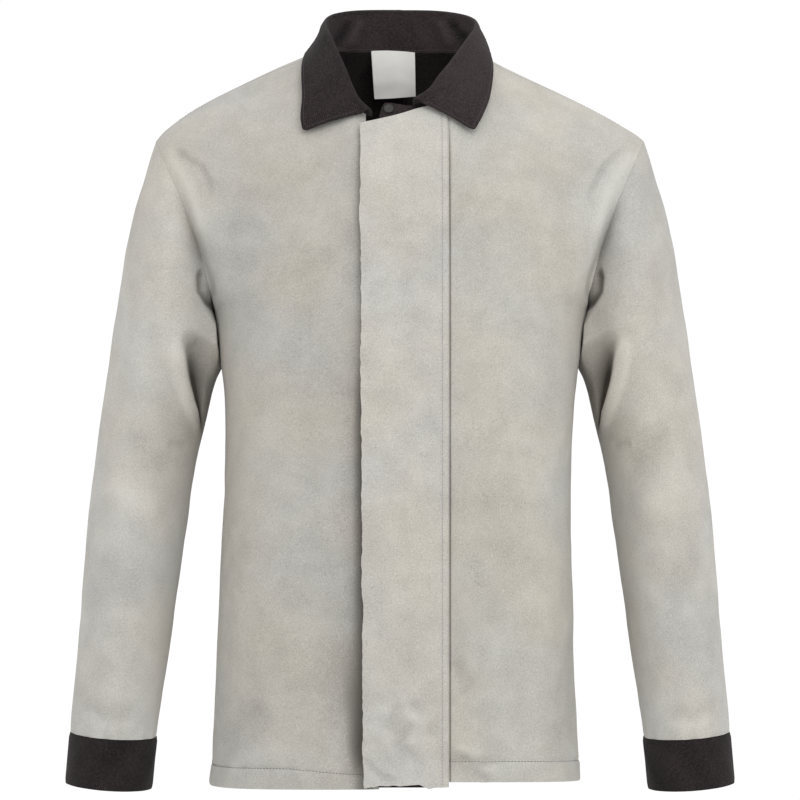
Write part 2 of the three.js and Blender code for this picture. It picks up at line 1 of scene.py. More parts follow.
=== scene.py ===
import bpy
import numpy as np
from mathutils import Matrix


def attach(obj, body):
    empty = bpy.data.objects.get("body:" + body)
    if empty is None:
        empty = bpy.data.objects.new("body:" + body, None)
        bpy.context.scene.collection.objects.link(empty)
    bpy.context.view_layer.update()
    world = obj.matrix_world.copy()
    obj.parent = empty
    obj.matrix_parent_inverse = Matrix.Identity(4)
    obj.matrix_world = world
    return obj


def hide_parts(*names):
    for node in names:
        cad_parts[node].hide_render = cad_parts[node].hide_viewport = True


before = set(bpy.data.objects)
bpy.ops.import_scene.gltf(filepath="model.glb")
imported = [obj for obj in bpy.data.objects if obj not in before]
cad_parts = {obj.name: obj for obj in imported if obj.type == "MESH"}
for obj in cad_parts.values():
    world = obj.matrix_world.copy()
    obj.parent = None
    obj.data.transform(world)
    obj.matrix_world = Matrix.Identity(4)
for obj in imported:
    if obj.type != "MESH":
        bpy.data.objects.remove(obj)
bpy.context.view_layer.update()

# Fronts: two panels of split leather, suede side out, cut with armhole, neckline and front edge.
# The hem is turned up and stitched down. Side, shoulder and armhole edges are sewn to their
# neighbours. All charts are in millimetres.
MM = 0.001
RIGHT, LEFT = -1, 1
FRONT, BEHIND = -1, 1


def chart(columns, *rows):
    """Size chart: the names of its columns, then its rows, kept as one array for each name."""
    return dict(zip(columns.split(), np.array(rows, float).T))


SHOULDER_X, SHOULDER_Z = 243.0, -91.5
ARMPIT_X, ARMPIT_Z = 183.0, -262.0
ARMHOLE_FRONT, ARMHOLE_BACK = 72.0, 78.0
ARMHOLE_HOLLOW = 8.0
ARMHOLE_SWELL = 1.5 * np.sqrt(3)
ARMHOLE_PACE = 2.0
ARMHOLE_FADE = 4
TORSO = chart(
    "at side front back half sway tilt rear",
    (0.0, -730.6, -717.2, -731, 184, -5, 3.5, 130),
    (0.1, -685, -673, -686, 181.5, -5, 3, 128),
    (0.28, -600, -592, -600, 177.5, -4.5, 2, 126),
    (0.47, -510, -505, -510, 174, -3.5, 1, 123),
    (0.64, -430, -427, -430, 172, -2, 0, 122),
    (0.79, -360, -358, -358, 172.5, -0.5, 0, 126),
    (0.9, -308, -306, -305, 178, 0, 0, 132),
    (1.0, -262, -258, -255, 183, 0, 0, 136),
)
SIDE_TILT = 0.4
FULL_SIDE, FULL_CENTRE = 0.6, 0.62
FRONT_PROFILE = chart(
    "at y",
    (-740, -135.5), (-590, -137.5), (-450, -139), (-330, -140), (-250, -138),
    (-200, -134), (-150, -125), (-110, -113), (-76, -99), (-56, -88.5),
)
SHOULDER_SEAM = chart(
    "at right left",
    (77, 0.5, -3.5), (97, -8, -14.5), (123, -19, -27.2), (157, -35, -43),
    (188, -50.5, -58.3), (214, -66, -72.5), (235, -82, -85), (243, -91.5, -91.5),
)
NECK_HALF, NECK_POINT_TURN, NAPE_ROUND = 77.0, 90.0, 8.0
CHEST_TURN = (130, 150)
NECKLINE = chart(
    "at y right left",
    (0, 80, 8, 8), (45, 55, 6, 5), (90, -8, 0.5, -3.5), (112, -41, -22, -22),
    (135, -74, -50, -42), (150, -90, -68, -56), (160, -95, -75, -61.5), (180, -97, -80, -66),
)
FRONT_CLIMB = (
    (0.3, 0, -100, 260, 0, 200, 20),
    (0.6, 20, 0, 280, 15, 200, 120),
    (1.0, 0, -8, 190, 0, 75, 170),
)
BACK_CLIMB = (
    (0.3, 0, 110, 260, 0, -230, 20),
    (0.6, 20, 60, 290, 15, -330, 50),
    (1.0, 0, 8, 260, 0, -130, 200),
)
SHOULDER_SHARE = 0.6
CORNER_SOFTNESS, CORNER_ENDS, CORNER_FADE = 0.09, 3, 4
LEFT_EDGE, RIGHT_EDGE_TOP, RIGHT_EDGE_HEM = 38.0, -33.0, -20.0
EDGE_TOP_Z, EDGE_HEM_Z = -80.0, -714.0
RIGHT_RECESS, EDGE_PULL = 2.6, 16
SEAM_SHARE, TOP_SHARE = 0.0003, 0.0026
LEATHER = 1.5
RIGHT_CUT = {"flat": (0.317, 0.763), "area": 0.17}
LEFT_CUT = {"flat": (0.298, 0.753), "area": 0.16}

# Fullness beside the side seams and the armpits: shares of the depth, sizes, and where they come and go
SIDE_FULL, ARMPIT_FULL, ARMPIT_LEVELS = 1.1, 0.78, (0.75, 1.0)
SIDE_PUSH, PUSH_RISE, PUSH_WIDE, PUSH_LEVELS = 12.0, (0, 14), 55, ((0.75, 0.95), (1.15, 1.45))
CROWD_DEPTH, CROWD_SLOPE, CROWD_SOFT = 56.0, 0.6, 6.0
FILL_X, FILL_WIDE, FILL_Z, FILL_HIGH, FILL_Y = 190.0, 24.0, -230.0, 38.0, (-20, 20)

# Hem: how far it is turned up, its round corners, its second layer, and the stitched, puckered groove
HEM_TURN, HEM_CORNER, HEM_CORNER_TOP = 20.0, 6.0, 18.0
HEM_NARROWING, HEM_NARROW_ENDS = 5.5, (-120, -35)
HEM_LAYER, HEM_STEP, HEM_GROOVE, HEM_GROOVE_WIDE = 0.9, (-2, 1), 0.9, 1.5
PUCKER, PUCKER_WIDE = (0.5, 7, 5), 8
PUCKER_MORE, PUCKER_X, PUCKER_X_WIDE = 1.6, 62, 24

# Drape: layers of unevenness, each with its height, cell and seed, and where it comes and goes
FRONT_DRAPE, DRAPE_TOP, BESIDE_SEAM = ((1.1, 58, 3), (0.35, 21, 4)), (1.6, 1.9), (0, 26)

# Marks of the flap, painted shade in a pressed line on the left and a painted shadow of the flap on the
# right, then painted light beside the side seams and on the shoulders
FLAP_LINE, FLAP_LINE_ROLL, FLAP_LINE_TOP, FLAP_LINE_SHADE = 47.6, (1.2, 0.7), (-76, -64), 3.0
FLAP_SHADE, FLAP_SHADE_ROLL, FLAP_SHADE_TOP = -34, (3.4, 13), (-360, -270)
SIDE_PALE, SIDE_PALE_WIDE, SIDE_PALE_TOP = 2.0, 30, (1.3, 1.8)
TOP_PALE, TOP_PALE_ENDS = 1.1, (-150, -60)
FOLD_SHADING = (-1.5, 2)

# Creases: the shares of a crease's length in which it fades in and out, then those of the fronts, as
# seen from before: points x, z, then width and depth (a ridge is negative)
CREASE_ENDS = ((0, 0.25), (0.75, 1))
RIGHT_CREASES = (
    (((-226, -98), (-217, -105), (-206, -115), (-194, -122), (-186, -136), (-181, -154)), 3.0, 2.4),
    (((-238, -104), (-226, -110), (-213, -130), (-203, -152), (-196, -176), (-190, -196)), 6.0, -2.2),
    (((-178, -690), (-150, -660), (-118, -642)), 14, 1.6),
    (((-172, -712), (-140, -690), (-96, -684)), 10, -1.2),
    (((-60, -560), (-48, -640), (-40, -715)), 12, 1.5),
)
LEFT_CREASES = (
    (((224, -98), (214, -106), (200, -120), (190, -138), (181, -158)), 3.0, 2.4),
    (((236, -104), (226, -112), (211, -132), (200, -154), (193, -178), (188, -198)), 6.0, -2.2),
    (((51, -592), (58, -612), (67, -634)), 7, 1.8),
    (((50, -686), (62, -695), (82, -701)), 5, 1.9),
    (((50, -676), (62, -684), (84, -688)), 5, -1.6),
    (((54, -696), (64, -701.5), (78, -709), (90, -714)), 4, 1.8),
    (((70, -699), (84, -702), (98, -701)), 5, -1.2),
    (((172, -560), (160, -640), (150, -712)), 16, 1.6),
)


def mix(start, end, share):
    """Straight blend: start at share 0, end at share 1."""
    return start + (end - start) * share


def ease(value, low, high):
    """Smooth step: 0 below low, 1 above high, a cubic with level ends between them."""
    share = np.clip((value - low) / (high - low), 0, 1)
    return share * share * (3 - 2 * share)


def between(value, rise, fall):
    """1 between two ramps: it eases up over the first and down over the second."""
    return ease(value, *rise) * (1 - ease(value, *fall))


def bell(distance, width):
    """Bell curve: 1 at distance 0, then e to the minus square of the distance counted in widths."""
    return np.exp(-(distance / width) ** 2)


def hermite(share, start, end, leave, arrive):
    """Cubic from start to end that leaves and arrives with the given slopes."""
    rest = 1 - share
    blend = rest * rest * (1 + 2 * share) * start + share * share * (3 - 2 * share) * end
    return blend + share * rest * (rest * leave - share * arrive)


def bezier(share, a, b, c, d):
    """Cubic that starts at a towards b and ends at d coming from c."""
    rest = 1 - share
    return rest**3 * a + 3 * rest**2 * share * b + 3 * rest * share**2 * c + share**3 * d


def read(sizes, column, at):
    """Smooth curve through one column of a chart: cubics whose slopes join each row's neighbours."""
    rows, values = sizes["at"], sizes[column]
    near, lift = np.pad(rows, 1, mode="edge"), np.pad(values, 1, mode="edge")
    slopes = (lift[2:] - lift[:-2]) / (near[2:] - near[:-2])
    place = np.clip(at, rows[0], rows[-1])
    i = np.clip(np.searchsorted(rows, place, side="right") - 1, 0, len(rows) - 2)
    span = rows[i + 1] - rows[i]
    share = (place - rows[i]) / span
    return hermite(share, values[i], values[i + 1], slopes[i] * span, slopes[i + 1] * span)


def points(x, y, z):
    """Points from three arrays that broadcast together."""
    return np.stack(np.broadcast_arrays(x, y, z), axis=-1).astype(float)


def front_y(z):
    """Profile of the front edge, by height."""
    return read(FRONT_PROFILE, "y", z)


def armhole(side, face, climb):
    """Armhole seam from the armpit (0) to the shoulder tip (1): a slant, hollowed towards the
    neck, that swells to the front or the back and is pinched at the armpit."""
    share = climb * (2 - climb)
    depth = ARMHOLE_FRONT if face == FRONT else ARMHOLE_BACK
    x = mix(ARMPIT_X, SHOULDER_X, share) - ARMHOLE_HOLLOW * 4 * share * (1 - share)
    y = face * depth * ARMHOLE_SWELL * share * (1 - climb)
    return points(side * x, y, mix(ARMPIT_Z, SHOULDER_Z, share))


def shoulder_seam(side, share):
    """Shoulder seam from its tip (0) to the neck (1), by its chart."""
    x = mix(SHOULDER_X, NECK_HALF, share)
    z = read(SHOULDER_SEAM, "right" if side == RIGHT else "left", x)
    return points(side * x, share * read(NECKLINE, "y", NECK_POINT_TURN), z)


def neckline(side, turn):
    """Neckline by the turn from the middle of the back: an oval, rounded at the nape, that joins the
    front profile."""
    z = read(NECKLINE, "right" if side == RIGHT else "left", np.hypot(turn, NAPE_ROUND))
    y = mix(read(NECKLINE, "y", np.hypot(turn, NAPE_ROUND)), front_y(z), ease(turn, *CHEST_TURN))
    return points(side * NECK_HALF * np.sin(np.radians(turn)), y, z)


def turn_at(x):
    """Turn at which the front neckline is this far from the middle."""
    return 180 - np.degrees(np.arcsin(np.abs(x) / NECK_HALF))


def lower_row(side, face, edge, level, across):
    """Row of a panel below the armpit: a cubic from the side seam (0) round to the middle (1)."""
    start_x = side * read(TORSO, "half", level) + read(TORSO, "sway", level)
    tilt = side * read(TORSO, "tilt", level)
    start_z = read(TORSO, "side", level) + SIDE_TILT * tilt
    end_z = read(TORSO, "front", level) + tilt if face == FRONT else read(TORSO, "back", level)
    reach = front_y(end_z) if face == FRONT else read(TORSO, "rear", level)
    end_x = read(TORSO, "sway", level) if edge is None else edge
    x = bezier(across, start_x, start_x, mix(end_x, start_x, FULL_CENTRE), end_x)
    full = mix(SIDE_FULL, ARMPIT_FULL, ease(level, *ARMPIT_LEVELS)) if face == FRONT else FULL_SIDE
    y = bezier(across, 0, full * reach, reach, reach)
    z = bezier(across, start_z, mix(start_z, end_z, full), end_z, end_z)
    return points(x, y, z)


def top_edge(side, end_turn, across):
    """Top edge of a panel: along the shoulder seam to the neck, then down the neckline."""
    on_seam = np.clip(across / SHOULDER_SHARE, 0, 1)
    on_neck = np.clip((across - SHOULDER_SHARE) / (1 - SHOULDER_SHARE), 0, 1)
    neck = neckline(side, mix(NECK_POINT_TURN, end_turn, on_neck))
    return np.where((across <= SHOULDER_SHARE)[..., None], shoulder_seam(side, on_seam), neck)


def soft_top_edge(side, end_turn, across):
    """The same edge with its corner rounded: a mean of five points, closer together at the ends."""
    reach = CORNER_SOFTNESS * np.clip(CORNER_ENDS * np.minimum(across, 1 - across), 0, 1)
    taps = [top_edge(side, end_turn, across + tap * reach) for tap in (-2, -1, 0, 1, 2)]
    return np.mean(taps, axis=0)


def upper_panel(side, face, edge, end_turn, climb, across):
    """Panel above the armpit: cubics from the armpit row to the top edge, whose slopes follow the
    climb chart across the panel; the sharp neck corner comes in only near the top."""
    foot = lower_row(side, face, edge, 1.0, across)
    soft = soft_top_edge(side, end_turn, across)
    depth = face * (ARMHOLE_FRONT if face == FRONT else ARMHOLE_BACK) * ARMHOLE_SWELL
    seam_x = ARMHOLE_PACE * (ARMPIT_X - SHOULDER_X + 4 * ARMHOLE_HOLLOW)
    seam_z = ARMHOLE_PACE * (SHOULDER_Z - ARMPIT_Z)
    seam_row = (0, seam_x, ARMHOLE_PACE * depth, seam_z, 0, -depth, 0)
    rows = FRONT_CLIMB if face == FRONT else BACK_CLIMB
    climbs = chart("at upX upY upZ topX topY topZ", seam_row, *rows)
    leave = points(*(turned * read(climbs, name, across) for name, turned in
                     (("upX", -side), ("upY", 1), ("upZ", 1))))
    arrive = points(*(turned * read(climbs, name, across) for name, turned in
                      (("topX", -side), ("topY", 1), ("topZ", 1))))
    share = climb[..., None]
    sharp = top_edge(side, end_turn, across) - soft
    return hermite(share, foot, soft, leave, arrive) + sharp * share**CORNER_FADE


def panel(side, face, edge, end_turn, across, level):
    """Torso panel: level 0 to 1 runs from hem to armpit, 1 to 2 on to the top edge, and the part
    above is drawn onto the armhole seam, less and less towards the middle."""
    climb = np.clip(level - 1, 0, 1)
    upper = upper_panel(side, face, edge, end_turn, climb, across)
    own = upper_panel(side, face, edge, end_turn, climb, np.zeros_like(across))
    upper += (armhole(side, face, climb) - own) * ((1 - across) ** ARMHOLE_FADE)[..., None]
    lower = lower_row(side, face, edge, np.clip(level, 0, 1), across)
    return np.where((level <= 1)[..., None], lower, upper)


def right_edge(z):
    """Front edge of the right panel, which slants a little."""
    return mix(RIGHT_EDGE_HEM, RIGHT_EDGE_TOP, (z - EDGE_HEM_Z) / (EDGE_TOP_Z - EDGE_HEM_Z))


def front_panel(side, across, level):
    """Front panel whose middle edge is pulled onto the front profile; the right one lies deeper."""
    edge = right_edge(read(TORSO, "front", level)) if side == RIGHT else LEFT_EDGE
    end_turn = turn_at(RIGHT_EDGE_TOP if side == RIGHT else LEFT_EDGE)
    grid = panel(side, FRONT, edge, end_turn, across, level)
    recess = RIGHT_RECESS if side == RIGHT else 0
    grid[..., 1] = mix(grid[..., 1], front_y(grid[..., 2]) + recess, across**EDGE_PULL)
    return grid


def crowd(grid, share):
    """Cloth crowded forward beside the armpit, to a slanted plane that it meets softly."""
    plane = CROWD_DEPTH + CROWD_SLOPE * (np.abs(grid[..., 0]) - ARMPIT_X)
    forward = CROWD_SOFT * np.logaddexp(-grid[..., 1] / CROWD_SOFT, plane / CROWD_SOFT)
    return points(grid[..., 0], mix(grid[..., 1], -forward, share), grid[..., 2])


def armpit_fill(grid):
    """The same around the armpit, by place alone, so the pieces that meet there move together."""
    near = bell(np.abs(grid[..., 0]) - FILL_X, FILL_WIDE) * bell(grid[..., 2] - FILL_Z, FILL_HIGH)
    return crowd(grid, near * (1 - ease(grid[..., 1], *FILL_Y)))


def round_corner(grid, seam_x):
    """Hem lifted towards a side seam, so that its corner is round as seen from before."""
    short = np.clip(HEM_CORNER - np.abs(grid[..., 0] - seam_x), 0, HEM_CORNER)
    lift = HEM_CORNER - np.sqrt(HEM_CORNER**2 - short**2)
    return grid + points(0, 0, lift * (1 - ease(run(grid, 0), 0, HEM_CORNER_TOP)))


def steps(*legs):
    """Rising parameters: legs of (start, end, count) laid end to end."""
    return np.unique(np.concatenate([np.linspace(*leg) for leg in legs]))


def run(grid, axis):
    """Length of cloth from the grid's first line to each point, along one direction."""
    pieces = np.linalg.norm(np.diff(grid, axis=axis), axis=-1)
    start = np.zeros_like(np.take(pieces, [0], axis=axis))
    return np.cumsum(np.concatenate([start, pieces], axis=axis), axis=axis)


def facing(grid, loop=False):
    """Unit normals: the cross product of the grid's two directions; a loop closes on itself."""
    wide = np.concatenate([grid[:, -1:], grid, grid[:, :1]], axis=1) if loop else grid
    along = np.gradient(wide, axis=1)[:, 1:-1] if loop else np.gradient(wide, axis=1)
    across = np.cross(along, np.gradient(grid, axis=0))
    return across / np.linalg.norm(across, axis=-1, keepdims=True)


def unevenness(x, z, cell, seed):
    """Smooth random height from -1 to 1: seeded values on a turned lattice, eased between corners."""
    size, tilt = 64, 0.6
    lattice = np.random.default_rng(seed).uniform(-1, 1, (size, size))
    s = (x * np.cos(tilt) - z * np.sin(tilt)) / cell
    t = (x * np.sin(tilt) + z * np.cos(tilt)) / cell
    i, j = np.floor(s).astype(int), np.floor(t).astype(int)
    k, m = ease(s - i, 0, 1), ease(t - j, 0, 1)
    low = mix(lattice[i % size, j % size], lattice[(i + 1) % size, j % size], k)
    high = mix(lattice[i % size, (j + 1) % size], lattice[(i + 1) % size, (j + 1) % size], k)
    return mix(low, high, m)


def waves(x, z, *layers):
    """Sum of layers of unevenness, each with its height, cell and seed."""
    return sum(height * unevenness(x, z, cell, seed) for height, cell, seed in layers)


def crease(x, z, path, width, depth):
    """Height of a crease: a groove of rounded section along a line of points, fading at both ends."""
    line = np.array(path, float)
    legs = np.diff(line, axis=0)
    sizes = np.linalg.norm(legs, axis=1)
    starts = np.concatenate([[0], np.cumsum(sizes)])
    away = np.stack([x, z], axis=-1)[..., None, :] - line[:-1]
    share = np.clip((away * legs).sum(-1) / sizes**2, 0, 1)
    distance = np.linalg.norm(away - share[..., None] * legs, axis=-1)
    nearest = distance.argmin(axis=-1)[..., None]
    place = np.take_along_axis(starts[:-1] + share * sizes, nearest, -1)[..., 0] / starts[-1]
    return -depth * between(place, *CREASE_ENDS) * bell(distance.min(axis=-1), width)


def seam_roll(distance, depth, width):
    """Cloth that rolls in towards a seam: deepest at the seam, gone a few widths away."""
    return -depth * bell(distance, width)


def turned_hem(past_turn, groove):
    """Height of a turned-up hem: a second layer up to its fold line, with a stitched groove along it."""
    return HEM_LAYER * (1 - ease(past_turn, *HEM_STEP)) + seam_roll(past_turn, groove, HEM_GROOVE_WIDE)


def piece(name, vertices, quads, material, uv=None, painted_shading=None):
    """Mesh piece from points in millimetres and rows of four corners, with the length of cloth as
    its UV map and painted light and shade as an attribute, and it rides on the one body."""
    sharp_angle = np.radians(50)
    mesh = bpy.data.meshes.new(name)
    mesh.vertices.add(len(vertices))
    mesh.vertices.foreach_set("co", (vertices * MM).astype(np.float32).ravel())
    mesh.loops.add(quads.size)
    mesh.loops.foreach_set("vertex_index", quads.astype(np.int32).ravel())
    mesh.polygons.add(len(quads))
    mesh.polygons.foreach_set("loop_start", np.arange(0, quads.size, 4, dtype=np.int32))
    mesh.polygons.foreach_set("use_smooth", np.ones(len(quads), bool))
    mesh.update(calc_edges=True)
    if uv is not None:
        mesh.uv_layers.new(name="cloth").data.foreach_set("uv", (uv * MM).astype(np.float32).ravel())
    if painted_shading is not None:
        folds = mesh.attributes.new("painted_shading", "FLOAT", "POINT")
        folds.data.foreach_set("value", painted_shading.astype(np.float32).ravel())
    mesh.set_sharp_from_angle(angle=sharp_angle)
    mesh.materials.append(material)
    made = bpy.data.objects.new(name, mesh)
    bpy.context.scene.collection.objects.link(made)
    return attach(made, "root")


def cloth(name, grid, wall, material, painted_shading=None, loop=False):
    """Closed wall of cloth: the grid is its outer face, the inner face is set back along the normals,
    and rims join them along the open edges."""
    rows, columns = grid.shape[:2]
    inner = grid - facing(grid, loop) * np.broadcast_to(wall, (rows, columns))[..., None]
    number = np.arange(rows * columns).reshape(rows, columns)
    number = np.concatenate([number, number[:, :1]], axis=1) if loop else number
    wide = np.concatenate([grid, grid[:, :1]], axis=1) if loop else grid
    lengths = np.stack([run(wide, 1), run(wide, 0)], axis=-1)

    def corners(of):
        return np.stack([of[:-1, :-1], of[:-1, 1:], of[1:, 1:], of[1:, :-1]], axis=2)

    outer_quads, flat = corners(number).reshape(-1, 4), corners(lengths).reshape(-1, 4, 2)
    half = rows * columns
    quads, uvs = [outer_quads, outer_quads[:, ::-1] + half], [flat, flat[:, ::-1]]

    def rim(line, measure):
        quads.append(np.stack([line[:-1] + half, line[1:] + half, line[1:], line[:-1]], axis=-1))
        uvs.append(np.stack([measure[:-1], measure[1:], measure[1:], measure[:-1]], axis=1))

    rim(number[0], lengths[0])
    rim(number[-1, ::-1], lengths[-1, ::-1])
    if not loop:
        rim(number[::-1, 0], lengths[::-1, 0])
        rim(number[:, -1], lengths[:, -1])
    both = np.concatenate([grid.reshape(-1, 3), inner.reshape(-1, 3)])
    # painted light and shade on the outer face only
    folds = np.zeros(2 * half) if painted_shading is None else np.concatenate([painted_shading.ravel(), 0 * painted_shading.ravel()])
    return piece(name, both, np.concatenate(quads), material, np.concatenate(uvs), folds)


def sewn(made, node, slot, cut, held, *rests_on):
    """Hides the CAD solid that a piece of cloth stands for; the piece, its finish, the size it was
    cut to, how it is held and by what are not used."""
    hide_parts(node)


def linear(code):
    """Linear colour of an sRGB hex value."""
    srgb = np.array([int(code[i:i + 2], 16) for i in (1, 3, 5)]) / 255
    return (*np.where(srgb <= 0.04045, srgb / 12.92, ((srgb + 0.055) / 1.055) ** 2.4), 1.0)


def add(tree, kind, inputs, **settings):
    """Adds a node with its settings; an input is a value or another node's output."""
    node = tree.nodes.new("ShaderNode" + kind)
    for name, value in settings.items():
        setattr(node, name, value)
    for key, value in inputs.items():
        if isinstance(value, bpy.types.NodeSocket):
            tree.links.new(value, node.inputs[key])
        else:
            node.inputs[key].default_value = value
    return node


def bare_material(name):
    """New material and its node tree, emptied."""
    material = bpy.data.materials.new(name)
    material.use_nodes = True
    material.node_tree.nodes.clear()
    return material, material.node_tree


def suede(name, pale, dark):
    """Split leather with its nap raised: a dull fibrous face, clouded where the nap lies over, with
    painted light on ridges and painted shade in folds, going to a dark brown where the painted shade is
    deepest. The real nap is about 0.3 mm; it is drawn at 1 mm, because it wouldn't show otherwise."""
    cloud_size, blotch_size, nap_size, tint_size = 0.085, 0.024, 0.001, 0.11
    blotch_height, nap_height = 0.0012, 0.0006
    cool, warm, shadow_tone = linear("#fafcff"), linear("#fffcf8"), linear("#4b463f")
    material, tree = bare_material(name)
    place = add(tree, "TexCoord", {}).outputs["Object"]
    # painted light and shade from the mesh attribute: paler on ridges, darker in folds
    fold = add(tree, "Attribute", {}, attribute_name="painted_shading").outputs["Fac"]
    cloud = add(tree, "TexNoise", {"Vector": place, "Scale": 1 / cloud_size, "Detail": 3.0}).outputs[0]
    blotch = add(tree, "TexNoise", {"Vector": place, "Scale": 1 / blotch_size, "Detail": 4.0,
                                    "Roughness": 0.52}).outputs[0]
    nap = add(tree, "TexNoise", {"Vector": place, "Scale": 1 / nap_size, "Detail": 3.0,
                                 "Roughness": 0.7}).outputs[0]
    tint = add(tree, "TexNoise", {"Vector": place, "Scale": 1 / tint_size, "Detail": 2.0}).outputs[0]
    tint = add(tree, "Math", {0: tint, 1: 3.0, 2: -1.0},
               operation="MULTIPLY_ADD", use_clamp=True).outputs[0]
    shade = -1.25
    for pattern, weight in ((cloud, 0.6), (blotch, 0.65), (nap, 2.3), (fold, 0.14)):
        shade = add(tree, "Math", {0: pattern, 1: weight, 2: shade}, operation="MULTIPLY_ADD").outputs[0]
    colour = add(tree, "Mix", {0: shade, 6: linear(dark), 7: linear(pale)}, data_type="RGBA").outputs[2]
    tint = add(tree, "Mix", {0: tint, 6: cool, 7: warm}, data_type="RGBA").outputs[2]
    colour = add(tree, "Mix", {0: 1.0, 6: colour, 7: tint},
                 data_type="RGBA", blend_type="MULTIPLY").outputs[2]
    # painted deep shade: where the attribute is lowest the colour goes over to the shadow tone
    deep_shade = add(tree, "Math", {0: fold, 1: -0.3, 2: -0.45},
               operation="MULTIPLY_ADD", use_clamp=True).outputs[0]
    colour = add(tree, "Mix", {0: deep_shade, 6: colour, 7: shadow_tone}, data_type="RGBA").outputs[2]
    soft = add(tree, "Bump", {"Height": blotch, "Distance": blotch_height, "Strength": 0.5}).outputs[0]
    rough = add(tree, "Bump", {"Height": nap, "Distance": nap_height, "Strength": 0.7,
                               "Normal": soft}).outputs[0]
    shader = add(tree, "BsdfPrincipled", {
        "Base Color": colour, "Normal": rough, "Roughness": 0.92, "IOR": 1.45,
        "Specular IOR Level": 0.15, "Sheen Weight": 0.12, "Sheen Roughness": 0.6})
    add(tree, "OutputMaterial", {"Surface": shader.outputs[0]})
    return material


# One suede in two copies: for the right front, darker with painted shade; for the left front, paler with
# painted light
shaded_suede = suede("grey suede split leather", "#bab7b0", "#908d87")
lit_suede = suede("lit copy of grey suede split leather", "#c0bdb5", "#96938c")

front_across = steps((SEAM_SHARE, 0.012, 4), (0.012, SHOULDER_SHARE, 74), (SHOULDER_SHARE, 0.95, 36),
                     (0.95, 0.985, 18), (0.985, 1, 5))
front_level = steps((0, 0.006, 4), (0.006, 0.08, 22), (0.08, 1, 150), (1, 1.97, 84), (1.97, 2 - TOP_SHARE, 6))
across, level = np.meshgrid(front_across, front_level)
front_grids, hem_turns = {}, {}
for side, node, leather, creases, cut in ((RIGHT, "right_front", shaded_suede, RIGHT_CREASES, RIGHT_CUT),
                                          (LEFT, "left_front", lit_suede, LEFT_CREASES, LEFT_CUT)):
    grid = armpit_fill(front_panel(side, across, level))
    beside = run(grid, 1)
    pushed = ease(beside, *PUSH_RISE) * bell(beside, PUSH_WIDE) * between(level, *PUSH_LEVELS)
    grid = grid - points(0, SIDE_PUSH * pushed, 0)
    grid = grid if side == RIGHT else grid[:, ::-1]
    x, z = grid[..., 0], grid[..., 2]
    from_seam, from_hem = run(grid, 1), run(grid, 0)
    from_seam = from_seam if side == RIGHT else from_seam[:, -1:] - from_seam
    drape = waves(x, z, *FRONT_DRAPE) * (1 - ease(level, *DRAPE_TOP)) * ease(from_seam, *BESIDE_SEAM)
    folds = sum(crease(x, z, *fold) for fold in creases)
    narrowing = HEM_NARROWING * ease(x[0], *HEM_NARROW_ENDS) if side == RIGHT else 0 * x[0]
    hem_turns[side] = HEM_TURN - narrowing
    past_turn = from_hem - hem_turns[side]
    pucker = waves(x, 0 * z, PUCKER) * bell(past_turn, PUCKER_WIDE)
    # painted shade by the flap: a dark line in the pressed seam line on the left, the flap's shadow on the
    # right
    if side == LEFT:
        pucker *= 1 + PUCKER_MORE * bell(x - PUCKER_X, PUCKER_X_WIDE)
        pressed = seam_roll(x - FLAP_LINE, *FLAP_LINE_ROLL) * (1 - ease(z, *FLAP_LINE_TOP))
        painted_flap_shade = FLAP_LINE_SHADE * pressed
    else:
        pressed = 0
        painted_flap_shade = seam_roll(x - FLAP_SHADE, *FLAP_SHADE_ROLL) * (1 - ease(z, *FLAP_SHADE_TOP))
    height = drape + folds + turned_hem(past_turn, HEM_GROOVE) + pucker + pressed
    grid = grid + facing(grid) * height[..., None]
    front_grids[side] = grid
    # painted light beside the side seams, where the sleeves shade them, and on the shoulders
    painted_light = SIDE_PALE * bell(from_seam, SIDE_PALE_WIDE) * (1 - ease(level, *SIDE_PALE_TOP))
    painted_light = painted_light + TOP_PALE * ease(z, *TOP_PALE_ENDS)
    # painted shade in creases and puckers and painted light on their ridges, with the flap shade and painted
    # light
    painted_shading = np.clip(folds + pucker, *FOLD_SHADING) + painted_flap_shade + painted_light
    seam_x = grid[:, :1, 0] if side == RIGHT else grid[:, -1:, 0]
    made = cloth(node + "_leather", round_corner(grid, seam_x), LEATHER, leather, painted_shading)
    sewn(made, node, "split_leather", cut, "hung", "back")

# Back: one panel of dark cotton twill from side seam to side seam, hemmed with the fronts. It hangs in
# soft folds from the shoulder blades, and through the neck its inner face is the jacket's dark inside.
TWILL = 1.2
BACK_CUT = {"flat": (0.633, 0.798), "area": 0.366}
BACK_DRAPE, BACK_DRAPE_TOP, BACK_GROOVE = ((1.6, 70, 8), (0.4, 24, 9)), (-120, -40), 0.7
SHOULDER_ROLL, SHOULDER_ROLL_ENDS = (2.2, 5.0), (100, 140)
# Painted shade in the grooves of the back's folds and painted light on their ridges, as a share of their
# height
BACK_FOLD_SHADING = 0.25
BACK_CREASES = (
    (((176, -248), (150, -276), (112, -296), (70, -304)), 11, 3.4),
    (((-176, -246), (-146, -270), (-108, -284), (-62, -300)), 12, 3.6),
    (((170, -300), (140, -322), (104, -330)), 10, -2.4),
    (((-172, -296), (-138, -312), (-96, -330)), 10, -2.6),
    (((140, -130), (118, -200), (104, -290), (98, -380)), 15, 3.0),
    (((-136, -126), (-120, -196), (-110, -270), (-106, -350)), 15, 2.8),
    (((62, -400), (72, -500), (70, -600), (78, -712)), 17, 3.4),
    (((-40, -430), (-54, -540), (-52, -640), (-62, -712)), 18, -3.0),
    (((126, -440), (130, -560), (142, -706)), 15, -2.6),
    (((-118, -410), (-128, -540), (-134, -700)), 16, 3.2),
    (((6, -540), (14, -620), (10, -712)), 14, 2.4),
)


